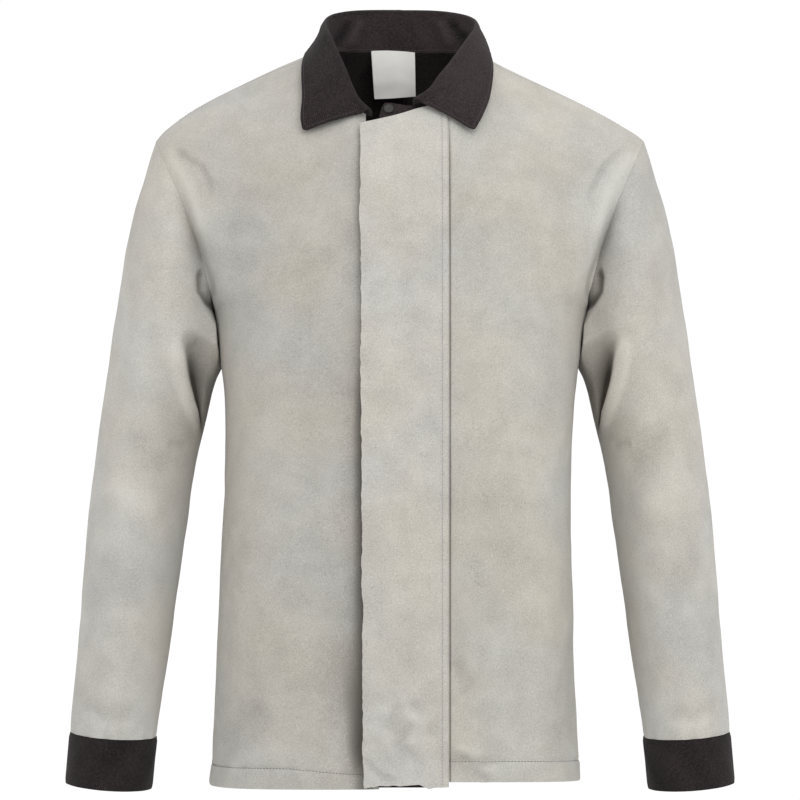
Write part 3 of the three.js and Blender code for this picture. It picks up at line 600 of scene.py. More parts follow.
def twill(name, pale, dark):
    """Cotton twill: fine slanted ribs with a dusty cast. The ribs are about 0.7 mm apart on the
    real cloth; they are drawn 1.5 mm apart, because they wouldn't show otherwise."""
    rib, dust_size, slub_size = 0.0015, 0.03, 0.0016
    rib_height, slub_height = 0.0003, 0.0004
    rib_scale = np.pi / (5 * rib * np.sqrt(2))
    material, tree = bare_material(name)
    coords = add(tree, "TexCoord", {}).outputs
    # tone from the mesh attribute: painted light and shade of folds, and a paler collar stand
    fold = add(tree, "Attribute", {}, attribute_name="painted_shading").outputs["Fac"]
    ribs = add(tree, "TexWave", {"Vector": coords["UV"], "Scale": rib_scale, "Distortion": 0.8, "Detail": 1.0,
                                 "Detail Scale": 1.5}, bands_direction="DIAGONAL").outputs["Fac"]
    place = coords["Object"]
    dust = add(tree, "TexNoise", {"Vector": place, "Scale": 1 / dust_size, "Detail": 4.0}).outputs[0]
    slub = add(tree, "TexNoise", {"Vector": place, "Scale": 1 / slub_size, "Detail": 3.0}).outputs[0]
    shade = -0.9
    for pattern, weight in ((dust, 0.5), (ribs, 0.5), (slub, 1.6), (fold, 0.2)):
        shade = add(tree, "Math", {0: pattern, 1: weight, 2: shade}, operation="MULTIPLY_ADD").outputs[0]
    colour = add(tree, "Mix", {0: shade, 6: linear(dark), 7: linear(pale)}, data_type="RGBA").outputs[2]
    weave = add(tree, "Bump", {"Height": ribs, "Distance": rib_height, "Strength": 0.5}).outputs[0]
    fuzz = add(tree, "Bump", {"Height": slub, "Distance": slub_height, "Strength": 0.5,
                              "Normal": weave}).outputs[0]
    shader = add(tree, "BsdfPrincipled", {
        "Base Color": colour, "Normal": fuzz, "Roughness": 0.88, "IOR": 1.5,
        "Specular IOR Level": 0.15, "Sheen Weight": 0.03, "Sheen Roughness": 0.5})
    add(tree, "OutputMaterial", {"Surface": shader.outputs[0]})
    return material


dark_twill = twill("charcoal cotton twill", "#3d3435", "#110e0f")

back_half = steps((0, 1 - SHOULDER_SHARE, 36), (1 - SHOULDER_SHARE, 0.985, 50), (0.985, 1 - SEAM_SHARE, 4))
back_level = steps((0, 0.006, 3), (0.006, 0.08, 14), (0.08, 1, 90), (1, 1.97, 60), (1.97, 2 - TOP_SHARE, 5))
across, level = np.meshgrid(1 - back_half, back_level)
left_half = panel(LEFT, BEHIND, None, 0.0, across, level)
right_half = panel(RIGHT, BEHIND, None, 0.0, across, level)
back_grid = armpit_fill(np.concatenate([left_half[:, ::-1], right_half[:, 1:]], axis=1))
x, z = back_grid[..., 0], back_grid[..., 2]
from_left, from_hem = run(back_grid, 1), run(back_grid, 0)
from_seam = np.minimum(from_left, from_left[:, -1:] - from_left)
beside_seam = ease(from_seam, *BESIDE_SEAM)
folds = sum(crease(x, z, *fold) for fold in BACK_CREASES) * beside_seam
height = waves(x, z, *BACK_DRAPE) * (1 - ease(z, *BACK_DRAPE_TOP)) + folds
height = (height + turned_hem(from_hem - HEM_TURN, BACK_GROOVE)) * beside_seam
height += seam_roll(from_hem[-1:] - from_hem, *SHOULDER_ROLL) * ease(np.abs(x), *SHOULDER_ROLL_ENDS)
back_grid = back_grid + facing(back_grid) * height[..., None]
hemmed = round_corner(round_corner(back_grid, back_grid[:, :1, 0]), back_grid[:, -1:, 0])
made = cloth("back_twill", hemmed, TWILL, dark_twill, BACK_FOLD_SHADING * folds)
sewn(made, "back", "dark_twill", BACK_CUT, "hung", "wearer_shoulders")

# Sleeves: leather tubes set into the armholes. The arm hangs, so spare leather folds under the arm
# into a pocket with a sharp front lip, with softer folds at the elbow and above the cuff.
SLEEVE = chart(
    "at outX outZ inX inZ front back middle",
    (0, 243, -91.5, 183, -262, 72, 78, 0),
    (0.5, 250, -112, 183.6, -271, 78, 81, 0),
    (1.3, 261, -150, 182.4, -283, 82, 83, 1),
    (2.2, 272, -196, 180.8, -298, 84, 84, 2),
    (3.2, 281.5, -250, 179.2, -314, 84, 84, 3),
    (4.2, 290.5, -308, 189, -345, 80, 81, 3),
    (5.4, 300, -380, 201.5, -402, 74, 75, 1),
    (6.7, 309, -460, 213, -472, 68, 69, -4),
    (8, 316, -539, 224, -548, 61, 62, -11),
    (9.2, 322, -618, 233.5, -625, 53, 54, -19),
    (10.2, 326.6, -678, 240.7, -684, 47, 48, -25),
    (11, 330.6, -727, 245.8, -734, 45, 46, -29),
)
SLEEVE_START, CUFF_SEAM, CUFF_END = 0.004, 10.2, 11.0
STATION_GAP = 0.005
PINCH_END = 2.2

# Leather crowded forward beside the body, with a dimple at the armhole, by stations and turns
CROWD_SHIFT, CROWD_SHIFT_TURNS = 4.0, (120, 160)
CROWD_ENDS, CROWD_TURNS = ((0.05, 1.3), (2.0, 4.4)), ((70, 110), (160, 180))
DIMPLE = (((193, -216), (196, -230), (195, -244), (188, -258), (182, -264)), 3.2, 3.0)

# Underarm pocket: the turn of its lip by station, its depth and rise, and the roll that hangs over the lip
POCKET_LIP = chart(
    "at turn", (2.5, 126), (2.9, 119), (3.35, 113), (3.7, 116), (4.2, 128), (4.7, 146), (5.1, 168))
POCKET_DEPTH, POCKET_ENDS = 0.55, ((2.2, 4.2), (4.7, 5.3))
POCKET_RISE, POCKET_FLOOR, POCKET_REACH, POCKET_BACK = 0.8, 4, 24, 166
LIP_SOFT, LIP_SHARP, LIP_ENDS = 9.0, 2.2, ((2.9, 3.8), (4.6, 5.2))
LIP_OVERHANG, OVERHANG_TURN, OVERHANG_WIDE = 5.0, -3, 4
LIP_ROLL, LIP_ROLL_TURN, LIP_ROLL_WIDE = 3.5, -8, 6

# Relief by stations and turns: folds of the front, drape, a swell behind, and the end gathered into the cuff
FACING_FRONT, BELOW_SEAM = (0.05, 0.4), (0, 0.35)
SLEEVE_DRAPE, SLEEVE_DRAPE_TOP, BEHIND_SHIFT = ((1.3, 52, 11), (0.35, 19, 12)), (0.1, 1.2), 300
SMOOTH_TURN, SMOOTH_WIDE, SMOOTH_END = 180, 25, (3.6, 4.6)
SWELL, SWELL_TURN, SWELL_WIDE, SWELL_ENDS = 2.0, 190, 14, ((0.05, 0.4), (3.2, 3.8))
SLEEVE_END_ROLL = (0.5, 2.5)
GATHERS, GATHERS_RUN, GATHERS_FADE = (0.8, 13, 13), 1.3, 14

# Painted shade under the pocket's lip, in the pocket and beside the armhole seam, painted light on the inner
# side below the pocket, and painted shade at the top of the left sleeve
PIT_SHADE, PIT_TURN, PIT_WIDE, PIT_TOP = 3.5, 5, 7, (3.1, 4.1)
POCKET_SHADE, POCKET_SHADE_LIP, POCKET_SHADE_BACK = 2.3, (-2, 8), (176, 200)
SEAM_SHADE, SEAM_SHADE_TURNS, SEAM_SHADE_WIDE = 1.6, (60, 100), 13
INNER_LIGHT, INNER_LIGHT_TURN, INNER_LIGHT_WIDE, INNER_LIGHT_TOP = 4.0, 168, 34, (4.9, 5.6)
LEFT_SHADE, LEFT_SHADE_END = 1.0, (2, 5)
SLEEVE_CREASES = (
    (((272, -378), (246, -398), (218, -416)), 12, 1.6),
    (((292, -420), (262, -446), (226, -462)), 16, -1.8),
    (((226, -392), (216, -394), (208, -396)), 4, 1.6),
    (((300, -498), (270, -530), (244, -540)), 18, 1.6),
    (((318, -640), (290, -656), (252, -652)), 8, 1.4),
    (((312, -660), (280, -668), (250, -666)), 6, -1.2),
)
SLEEVE_CUT = {"flat": (0.523, 0.595), "area": 0.198}


def sleeve_ring(turn, station, proud=0.0):
    """Sleeve by its stations: rings between an outer and an inner point, turned from the outer side
    (0) through the front (90) to the body (180), pinched like the armhole near the top."""
    get = {name: read(SLEEVE, name, station) for name in SLEEVE if name != "at"}
    cos, sin = np.cos(np.radians(turn)), np.sin(np.radians(turn))
    pinch = 1 - ease(station, 0, PINCH_END)
    squeeze = mix(1, ARMHOLE_SWELL / 2 * np.abs(np.cos(np.radians(turn / 2))), pinch)
    depth = np.where(sin > 0, get["front"], get["back"])
    centre = points((get["outX"] + get["inX"]) / 2, get["middle"], (get["outZ"] + get["inZ"]) / 2)
    spoke = points(cos * (get["outX"] - get["inX"]) / 2 - ARMHOLE_HOLLOW * sin * sin * pinch,
                   -depth * sin * squeeze, cos * (get["outZ"] - get["inZ"]) / 2)
    return centre + spoke * (1 + proud / np.linalg.norm(spoke, axis=-1, keepdims=True))


sleeve_turn = steps((0, 100, 41), (100, 180, 81), (180, 357.5, 72))
sleeve_station = steps((SLEEVE_START, 0.1, 5), (0.1, CUFF_SEAM - 0.1, 196),
                       (CUFF_SEAM - 0.1, CUFF_SEAM - STATION_GAP, 4))
turn, station = np.meshgrid(sleeve_turn, sleeve_station)
grid = armpit_fill(sleeve_ring(turn, station))
x, z = grid[..., 0], grid[..., 2]
beside_body = between(station, *CROWD_ENDS) * between(turn, *CROWD_TURNS)
grid = crowd(grid, beside_body)
grid[..., 0] -= CROWD_SHIFT * beside_body * ease(turn, *CROWD_SHIFT_TURNS)
lip = read(POCKET_LIP, "turn", station)
softness = mix(LIP_SOFT, LIP_SHARP, ease(station, *LIP_ENDS[0]))
along = between(station, *POCKET_ENDS)
tuck = POCKET_DEPTH * along * ease(turn, lip - softness, lip + softness)
tuck *= 1 - POCKET_RISE * ease(turn, lip + POCKET_FLOOR, np.maximum(lip + POCKET_REACH, POCKET_BACK))
middle = read(SLEEVE, "middle", station)
grid[..., 1] = np.where(turn < 180, mix(grid[..., 1], middle, tuck), grid[..., 1])
over_lip = between(station, *LIP_ENDS)
grid[..., 0] -= LIP_OVERHANG * over_lip * bell(turn - lip - OVERHANG_TURN, OVERHANG_WIDE)
down = run(grid, 0)
before = ease(np.sin(np.radians(turn)), *FACING_FRONT)
folded = before * ease(station, *BELOW_SEAM)
folds = folded * sum(crease(x, z, *fold) for fold in SLEEVE_CREASES)
folds = folds + LIP_ROLL * over_lip * bell(turn - lip - LIP_ROLL_TURN, LIP_ROLL_WIDE)
dimple = folded * crease(x, z, *DIMPLE)
swell = SWELL * bell(turn - SWELL_TURN, SWELL_WIDE) * between(station, *SWELL_ENDS)
drape = waves(x, z + BEHIND_SHIFT * (turn > 180), SLEEVE_DRAPE[0]) + waves(x, z, SLEEVE_DRAPE[1])
drape *= ease(station, *SLEEVE_DRAPE_TOP)
drape *= 1 - bell(turn - SMOOTH_TURN, SMOOTH_WIDE) * (1 - ease(station, *SMOOTH_END))
rolled = seam_roll(down[-1:] - down, *SLEEVE_END_ROLL)
gathers = waves(GATHERS_RUN * turn, 0 * turn, GATHERS) * np.exp((down - down[-1:]) / GATHERS_FADE)
height = folds + dimple + swell + drape + rolled + gathers
sleeve_grid = grid + facing(grid, loop=True) * height[..., None]
# painted shade under the lip, in the pocket and beside the armhole seam, where the sleeve lies behind the
# body
pit = along * bell(turn - lip - PIT_TURN, PIT_WIDE) * ease(station, *PIT_TOP)
past_lip = [lip + turned for turned in POCKET_SHADE_LIP]
in_pocket = along * between(turn, past_lip, POCKET_SHADE_BACK)
at_seam = before * ease(turn, *SEAM_SHADE_TURNS) * bell(down, SEAM_SHADE_WIDE)
# painted light on the inner side below the pocket, which the body shades
inner_light = bell(turn - INNER_LIGHT_TURN, INNER_LIGHT_WIDE) * ease(station, *INNER_LIGHT_TOP)
# painted shade in the folds, the dimple, the cuff seam and the gathers, painted light on their ridges
sleeve_shading = np.clip(folds + rolled + gathers, *FOLD_SHADING) + dimple + INNER_LIGHT * inner_light
sleeve_shading -= PIT_SHADE * pit + POCKET_SHADE * in_pocket + SEAM_SHADE * at_seam
MIRROR = np.array([-1.0, 1.0, 1.0])
pale_suede = suede("pale suede split leather", "#c5c2bb", "#9b9892")
# painted shade at the top of the left sleeve, which the lamp lights more than the right
left_shading = sleeve_shading - LEFT_SHADE * (1 - ease(station, *LEFT_SHADE_END))
for side, node, front in ((RIGHT, "right_sleeve", "right_front"), (LEFT, "left_sleeve", "left_front")):
    grid = sleeve_grid if side == LEFT else sleeve_grid[:, ::-1] * MIRROR
    painted_shading = left_shading if side == LEFT else sleeve_shading[:, ::-1]
    made = cloth(node + "_leather", grid, LEATHER, pale_suede, painted_shading, loop=True)
    sewn(made, node, "split_leather", SLEEVE_CUT, "hung", "back", front)

# Cuffs: bands of the dark twill, doubled, sewn to the ends of the sleeves. Their folds run aslant
# round the wrist and fade out on the outer side.
DOUBLE_TWILL = 2.2
CUFF_PROUD = 0.7
CUFF_CUT = {"flat": (0.287, 0.05), "area": 0.0143}
CUFF_SEAM_ROLL, CUFF_END_ROLL = (0.9, 2.5), (0.5, 2.0)
CUFF_FOLD_CELL, CUFF_FOLD_SEED, CUFF_FOLD_HEIGHT, CUFF_FOLD_SHADING = 22, 15, 0.8, 1.2
CUFF_FOLD_RUN, CUFF_FOLD_SLANT, CUFF_FOLD_LONG = 1.1, 0.8, 0.3
CUFF_FOLD_TURNS = ((0, 20), (335, 355))
cuff_cloth = twill("dark charcoal cotton twill", "#332c2d", "#0f0c0d")
cuff_station = steps((CUFF_SEAM + STATION_GAP, CUFF_SEAM + 0.03, 4), (CUFF_SEAM + 0.03, CUFF_END - 0.03, 20),
                     (CUFF_END - 0.03, CUFF_END, 4))
turn, station = np.meshgrid(np.arange(0, 360, 3), cuff_station)
grid = sleeve_ring(turn, station, CUFF_PROUD)
down = run(grid, 0)
slant = unevenness(CUFF_FOLD_RUN * turn + CUFF_FOLD_SLANT * down, CUFF_FOLD_LONG * down,
                   CUFF_FOLD_CELL, CUFF_FOLD_SEED) * between(turn, *CUFF_FOLD_TURNS)
height = seam_roll(down, *CUFF_SEAM_ROLL) + seam_roll(down[-1:] - down, *CUFF_END_ROLL)
height += CUFF_FOLD_HEIGHT * slant
cuff_grid = grid + facing(grid, loop=True) * height[..., None]
for side, node, sleeve in ((RIGHT, "right_cuff", "right_sleeve"), (LEFT, "left_cuff", "left_sleeve")):
    grid = cuff_grid if side == LEFT else cuff_grid[:, ::-1] * MIRROR
    # painted light on the ridges of the slanted folds and painted shade in their hollows
    folds = CUFF_FOLD_SHADING * (slant if side == LEFT else slant[:, ::-1])
    made = cloth(node + "_twill", grid, DOUBLE_TWILL, cuff_cloth, folds, loop=True)
    sewn(made, node, "dark_twill", CUFF_CUT, "hung", sleeve)

# Collar: a turned-down shirt collar of dark twill. It stands up from the neck seam, rolls over and
# falls to its outer edge, which is stitched close to the edge and ends in two points.
COLLAR_RIGHT = chart(
    "at rollX rollY rollZ edgeX edgeY edgeZ bow",
    (0, 0, 76, 47.5, 0, 95, -6, 4),
    (35, 45, 65, 45.5, 57, 82, -8, 4),
    (65, 69, 36, 37, 86, 46, -11, 2),
    (90, 73, 2, 24, 93, -1, -1, -2),
    (110, 66, -35, 4, 97, -45, -21, 0),
    (130, 53, -69, -28, 95.5, -74, -54, 2),
    (147, 40, -94, -59, 96.5, -87, -76, 3),
    (159.5, 27, -104, -71.5, 94, -93, -90, 3),
)
COLLAR_LEFT = chart(
    "at rollX rollY rollZ edgeX edgeY edgeZ bow",
    (0, 0, 76, 47.5, 0, 95, -6, 4),
    (35, 46, 65, 44.5, 57, 82, -9, 4),
    (65, 71, 36, 35, 84, 46, -14, 2),
    (90, 74, 2, 22, 90.5, -1, -5.5, 1),
    (110, 64, -35, 2, 92, -46, -25, 0),
    (130, 48, -70, -25, 87.5, -77, -55, 2),
    (150, 30, -98, -49, 79.5, -98, -76, 3),
    (170.7, 12.5, -105, -60, 72, -105, -90, 3),
)
COLLAR_DROP, ROLL_RADIUS = 0.5, 3.8
STAND_END, ROLL_END, FALL_END = 1.0, 2.0, 3.0
STAND_CREASES = (
    (((-50, 40), (-54, 28), (-62, 14), (-66, 2)), 4.0, 3.2),
    (((-38, 42), (-46, 24), (-54, 6)), 5.0, -2.6),
    (((48, 40), (56, 28), (63, 14), (66, 0)), 4.0, 3.4),
    (((38, 42), (46, 26), (54, 6)), 5.0, -2.6),
    (((62, 26), (68, 12), (68, -6)), 4.0, 2.4),
)
POINT_ROUND, POINT_PACE, POINT_FALL = 5.0, 1.6, 68.0
COLLAR_CUT = {"flat": (0.59, 0.108), "area": 0.045}

# Relief by steps up the collar: fine wrinkles and creases of the stand and soft presses of the fall,
# with painted light and shade on the stand's creases and across the fall, and a paler stand
WRINKLE, WRINKLE_LONG, WRINKLE_ENDS = (1.1, 15, 21), 0.25, ((0, 0.3), (0.5, 1.2))
PRESS, PRESS_ENDS, STAND_TOP = (0.9, 26, 22), ((1.0, 2.2), (2.7, 3.0)), (0.7, 1.0)
STAND_FOLD_SHADING, STAND_SHADING_RANGE, STAND_PALE = 0.6, (-2, 2), 0.8
FALL_LIGHT, FALL_LIGHT_HALF = 0.6, 60


def collar_half(side, turn, step):
    """Half of the collar by the turn from the middle of the back: step 0 to 1 climbs the stand, 1 to
    2 goes round the roll, a half circle, and 2 to 3 falls to the outer edge with a slight bow. The
    fall is cut back in an arc at its point."""
    sizes = COLLAR_RIGHT if side == RIGHT else COLLAR_LEFT
    soft = np.hypot(turn, NAPE_ROUND)
    roll = points(side * read(sizes, "rollX", turn), read(sizes, "rollY", soft), read(sizes, "rollZ", soft))
    edge = points(side * read(sizes, "edgeX", turn), read(sizes, "edgeY", soft), read(sizes, "edgeZ", soft))
    seam = neckline(side, turn)
    up = roll - seam
    up /= np.linalg.norm(up, axis=-1, keepdims=True)
    seam = seam - up * COLLAR_DROP
    outward = edge - roll
    outward -= up * (outward * up).sum(-1, keepdims=True)
    outward /= np.linalg.norm(outward, axis=-1, keepdims=True)
    climbed = np.clip(step, 0, STAND_END)[..., None]
    angle = np.pi * np.clip(step - STAND_END, 0, 1)[..., None]
    short = np.clip(POINT_ROUND - POINT_PACE * (sizes["at"][-1] - turn), 0, POINT_ROUND)
    arc = POINT_ROUND - np.sqrt(POINT_ROUND**2 - short**2)
    fallen = (np.clip(step - ROLL_END, 0, 1) * (1 - arc / POINT_FALL))[..., None]
    stand = mix(seam, roll, climbed)
    over = stand + ROLL_RADIUS * (outward * (1 - np.cos(angle)) + up * np.sin(angle))
    bow = read(sizes, "bow", turn)[..., None] * 4 * fallen * (1 - fallen)
    return mix(over, edge, fallen) + (outward + up / 2) * bow


collar_step = steps((0, 0.04, 3), (0.04, STAND_END, 18), (STAND_END, ROLL_END, 13),
                    (ROLL_END, 2.93, 26), (2.93, FALL_END, 6))
right_turn, right_step = np.meshgrid(np.linspace(COLLAR_RIGHT["at"][-1], 0, 110), collar_step)
left_turn, left_step = np.meshgrid(np.linspace(0, COLLAR_LEFT["at"][-1], 116), collar_step)
grid = np.concatenate([collar_half(RIGHT, right_turn, right_step),
                       collar_half(LEFT, left_turn, left_step)[:, 1:]], axis=1)
step = np.concatenate([right_step, left_step[:, 1:]], axis=1)
along, up = run(grid, 1), run(grid, 0)
x, z = grid[..., 0], grid[..., 2]
wrinkle = waves(along, WRINKLE_LONG * up, WRINKLE) * between(step, *WRINKLE_ENDS)
press = waves(along, up, PRESS) * between(step, *PRESS_ENDS)
stand = (1 - ease(step, *STAND_TOP)) * sum(crease(x, z, *fold) for fold in STAND_CREASES)
collar_grid = grid + facing(grid) * (wrinkle + press + stand)[..., None]
# painted light on the left of the fall and painted shade on its right
fall_light = FALL_LIGHT * np.clip(x / FALL_LIGHT_HALF, -1, 1)
# painted light and shade on the stand's wrinkles and creases, then a paler stand
collar_shading = np.clip(STAND_FOLD_SHADING * (stand + wrinkle), *STAND_SHADING_RANGE)
collar_shading += np.where(step < STAND_END, STAND_PALE, fall_light)
made = cloth("collar_twill", collar_grid, DOUBLE_TWILL, dark_twill, collar_shading)
sewn(made, "collar", "dark_twill", COLLAR_CUT, "folded", "back")

# Underlap and placket: strips of the dark twill sewn under the two front edges. The placket ends in
# a round tab at the throat, and they carry the two halves of the press studs.
UNDERLAP_END, UNDERLAP_TOP, UNDERLAP_HEM = 25.0, -80.0, -714.0
UNDERLAP_CLEAR = 0.6
UNDERLAP_CUT = {"flat": (0.057, 0.639), "area": 0.0334}
PLACKET_TIP, PLACKET_TAB, PLACKET_SEAM, PLACKET_HEM = -20.2, -12, 37.6, -718.8
PLACKET_TOP = chart("at z", (-20.2, -77), (-17.3, -66.5), (-13.5, -62.6), (9, -65.4), (19, -64), (38, -57))
PLACKET_CUT = {"flat": (0.071, 0.67), "area": 0.0391}

share, rise = np.meshgrid(np.linspace(0, 1, 16), np.linspace(0, 1, 160))
z = mix(UNDERLAP_HEM, UNDERLAP_TOP, rise)
x = mix(right_edge(z) + UNDERLAP_CLEAR, UNDERLAP_END, share)
made = cloth("underlap_twill", points(x, front_y(z) + RIGHT_RECESS, z), TWILL, dark_twill)
sewn(made, "underlap", "dark_twill", UNDERLAP_CUT, "hung", "right_front")

placket_x = steps((PLACKET_TIP, PLACKET_TAB, 18), (PLACKET_TAB, PLACKET_SEAM, 26))
x, rise = np.meshgrid(placket_x, steps((0, 0.9, 140), (0.9, 1, 40)))
z = mix(PLACKET_HEM, read(PLACKET_TOP, "z", x), rise)
made = cloth("placket_twill", points(x, front_y(z), z), TWILL, dark_twill)
sewn(made, "snap_placket", "dark_twill", PLACKET_CUT, "hung", "left_front")

# Press studs: dark painted caps with a raised rim and a dished middle, riveted through the placket.
# Each is a turned profile of radius and lift; the first shows at the throat.
STUD_X, STUD_COUNT, STUD_TOP, STUD_LOWEST = -11.0, 5, -69.0, -640.0
STUD_CLEAR = 0.3
STUD_PROFILE = np.array(((5.0, 0.0), (5.0, 0.7), (4.6, 1.3), (3.8, 1.6), (2.9, 1.5), (1.8, 1.3), (0.8, 1.25)))
STUD_SIDES = 24


def painted_metal(name, pale, dark):
    """Pressed metal under dark paint: smooth, half gloss, slightly mottled by handling."""
    mottle_size = 0.003
    material, tree = bare_material(name)
    place = add(tree, "TexCoord", {}).outputs["Object"]
    mottle = add(tree, "TexNoise", {"Vector": place, "Scale": 1 / mottle_size, "Detail": 3.0}).outputs[0]
    colour = add(tree, "Mix", {0: mottle, 6: linear(dark), 7: linear(pale)}, data_type="RGBA").outputs[2]
    shader = add(tree, "BsdfPrincipled", {"Base Color": colour, "Roughness": 0.55, "Metallic": 0.2})
    add(tree, "OutputMaterial", {"Surface": shader.outputs[0]})
    return material


def tube_quads(number):
    """Quads between neighbouring rings of a tube, from the numbers of its points, ring by ring."""
    after = np.roll(number, -1, axis=1)
    return np.stack([number[:-1], after[:-1], after[1:], number[1:]], axis=-1).reshape(-1, 4)


stud_paint = painted_metal("dark painted stud metal", "#352f30", "#211d1e")
angle = np.linspace(0, 2 * np.pi, STUD_SIDES, endpoint=False)
radius, lift = STUD_PROFILE[:, :1], STUD_PROFILE[:, 1:]
number = np.arange(len(STUD_PROFILE) * STUD_SIDES).reshape(-1, STUD_SIDES)
fan = np.arange(0, STUD_SIDES - 2, 2)
cap = np.stack([0 * fan, fan + 1, fan + 2, fan + 3], axis=-1) % STUD_SIDES
stud_quads = np.concatenate([tube_quads(number), cap[:, ::-1], cap + number[-1, 0]])
for count in range(1, STUD_COUNT + 1):
    z = mix(STUD_TOP, STUD_LOWEST, (count - 1) / (STUD_COUNT - 1))
    slope = (front_y(z + 1) - front_y(z - 1)) / 2
    up = np.array([0, slope, 1]) / np.hypot(slope, 1)
    out = np.array([0, -1, slope]) / np.hypot(slope, 1)
    centre = np.array([STUD_X, front_y(z) - STUD_CLEAR, z])
    right = np.array([1.0, 0, 0])
    spun = radius[..., None] * (np.cos(angle)[:, None] * right + np.sin(angle)[:, None] * up)
    turned = (centre + spun + lift[..., None] * out).reshape(-1, 3)
    made = piece(f"stud_cap_{count}", turned, stud_quads, stud_paint)
    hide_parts(f"press_stud_{count}")

# Storm flap: a strip of split leather stitched to the left front along one folded edge. Its other
# edge is raw and free: it lies over the opening, waves a little and lifts towards the hem.
FLAP_SEWN, FLAP_FREE, FLAP_FREE_HEM, FLAP_HEM = 46.7, -38.5, -34.5, -715.5
FLAP_TOP = chart("at z", (-38.5, -83.5), (-9, -76.5), (19, -68.5), (46.7, -61))
FLAP_SEWN_LIFT, FLAP_FREE_LIFT, FLAP_HEM_LIFT = 2.6, 7.0, 7.0
FLAP_STITCH, FLAP_GROOVE, FLAP_EDGE_ROLL = 7.0, (0.35, 1.3), (1.5, 1.0)
FLAP_CUT = {"flat": (0.09, 0.664), "area": 0.0558}

# Raw edges: raggedness of the free edge and of the hem, which drops at its left and right ends
FLAP_LONG, RAGGED, FRAYED = 700, ((0.7, 6, 31), (0.9, 31, 32)), ((0.9, 5, 33), (0.8, 17, 34))
SEWN_DROP, SEWN_DROP_X, FREE_DROP, FREE_DROP_X = 3.6, (18, 28), 0.8, (-30, -20)

# Relief: waves of the free edge, drape, the crumpled and creased lower corner, and the curled hem
FREE_WAVE, FLAP_DRAPE, FLAP_DRAPE_END = (1.3, 46, 35), ((0.9, 44, 36), (0.35, 15, 37)), (0.8, 0.97)
CRUMPLE, CRUMPLE_X, CRUMPLE_Z, CRUMPLE_WIDE = (2.0, 10, 38), 10, -660, 26
FLAP_CORNER = (((-36, -686), (-26, -699), (-14, -708), (2, -712)), 3.0, 1.6)
CURL, CURL_TOP, CURL_END = 5.0, (0, 26), (0, 0.4)
CRUMPLE_SHADING = 1.4
flap_share = steps((0, 0.02, 5), (0.02, 0.88, 44), (0.88, 0.985, 14), (0.985, 1, 5))
flap_rise = steps((0, 0.004, 4), (0.004, 0.12, 50), (0.12, 0.995, 220), (0.995, 1, 4))
share, rise = np.meshgrid(flap_share, flap_rise)
ragged = waves(FLAP_LONG * rise, 0 * rise, *RAGGED)
x = mix(mix(FLAP_FREE_HEM, FLAP_FREE, rise) + ragged, FLAP_SEWN, share)
drop = SEWN_DROP * ease(x, *SEWN_DROP_X) + FREE_DROP * (1 - ease(x, *FREE_DROP_X))
uneven_hem = FLAP_HEM + waves(x, 0 * x, *FRAYED) - drop
z = mix(uneven_hem, read(FLAP_TOP, "z", x), rise)
lift = mix(FLAP_FREE_LIFT + FLAP_HEM_LIFT * (1 - rise), FLAP_SEWN_LIFT, share)
grid = points(x, front_y(z) - lift, z)
from_sewn = run(grid, 1)[:, -1:] - run(grid, 1)
from_hem = run(grid, 0)
wave = waves(0 * z, z, FREE_WAVE) * (1 - share) ** 2
drape = waves(x, z, *FLAP_DRAPE) * (1 - ease(share, *FLAP_DRAPE_END))
near = bell(x - CRUMPLE_X, CRUMPLE_WIDE) * bell(z - CRUMPLE_Z, CRUMPLE_WIDE)
crumple = waves(x, z, CRUMPLE) * near + crease(x, z, *FLAP_CORNER)
stitched = seam_roll(from_sewn - FLAP_STITCH, *FLAP_GROOVE) + seam_roll(from_sewn, *FLAP_EDGE_ROLL)
curl = CURL * (1 - ease(from_hem, *CURL_TOP)) * (1 - ease(share, *CURL_END))
height = wave + drape + crumple + stitched + curl
flap_grid = grid + facing(grid) * height[..., None]
# painted shade in the crumples and the stitched grooves, painted light on the crumples' ridges
painted_shading = np.clip(CRUMPLE_SHADING * crumple + stitched, *FOLD_SHADING)
made = cloth("storm_flap_leather", flap_grid, LEATHER, pale_suede, painted_shading)
sewn(made, "storm_flap", "split_leather", FLAP_CUT, "hung", "left_front")

# Neck label: a bare white satin tape, folded edges left and right, caught in the back neck seam. It
# hangs inside the back, a little bowed and rippled at its foot.
LABEL_FOOT = {"middle": -5.1, "width": 42.0, "left": -41.9, "right": -38.8}
LABEL_HEAD = {"middle": -7.1, "width": 44.4, "left": 7.3, "right": 6.3}
LABEL_CROWN = 1.5
LABEL_CLEAR, LABEL_BOW, LABEL_WALL = 2.6, 2.5, 1.0
LABEL_RIPPLE, LABEL_RUN = (0.7, 16, 41), 60
LABEL_CUT = {"flat": (0.047, 0.048)}


def satin(name, pale, dark):
    """Woven satin tape: smooth and faintly glossy across its fine crosswise threads, which are
    0.3 mm on the real tape and drawn at 0.9 mm."""
    thread, thread_height, cloud_size = 0.0009, 0.0001, 1 / 90
    material, tree = bare_material(name)
    coords = add(tree, "TexCoord", {}).outputs
    lines = add(tree, "TexWave", {"Vector": coords["UV"], "Scale": np.pi / (10 * thread), "Distortion": 0.6},
                bands_direction="Y").outputs["Fac"]
    cloud = add(tree, "TexNoise", {"Vector": coords["Object"], "Scale": 1 / cloud_size,
                                   "Detail": 3.0}).outputs[0]
    shade = 0.0
    for pattern, weight in ((lines, 0.4), (cloud, 0.6)):
        shade = add(tree, "Math", {0: pattern, 1: weight, 2: shade}, operation="MULTIPLY_ADD").outputs[0]
    colour = add(tree, "Mix", {0: shade, 6: linear(dark), 7: linear(pale)}, data_type="RGBA").outputs[2]
    weave = add(tree, "Bump", {"Height": lines, "Distance": thread_height, "Strength": 0.5}).outputs[0]
    shader = add(tree, "BsdfPrincipled", {
        "Base Color": colour, "Normal": weave, "Roughness": 0.5, "IOR": 1.5, "Sheen Weight": 0.1})
    add(tree, "OutputMaterial", {"Surface": shader.outputs[0]})
    return material


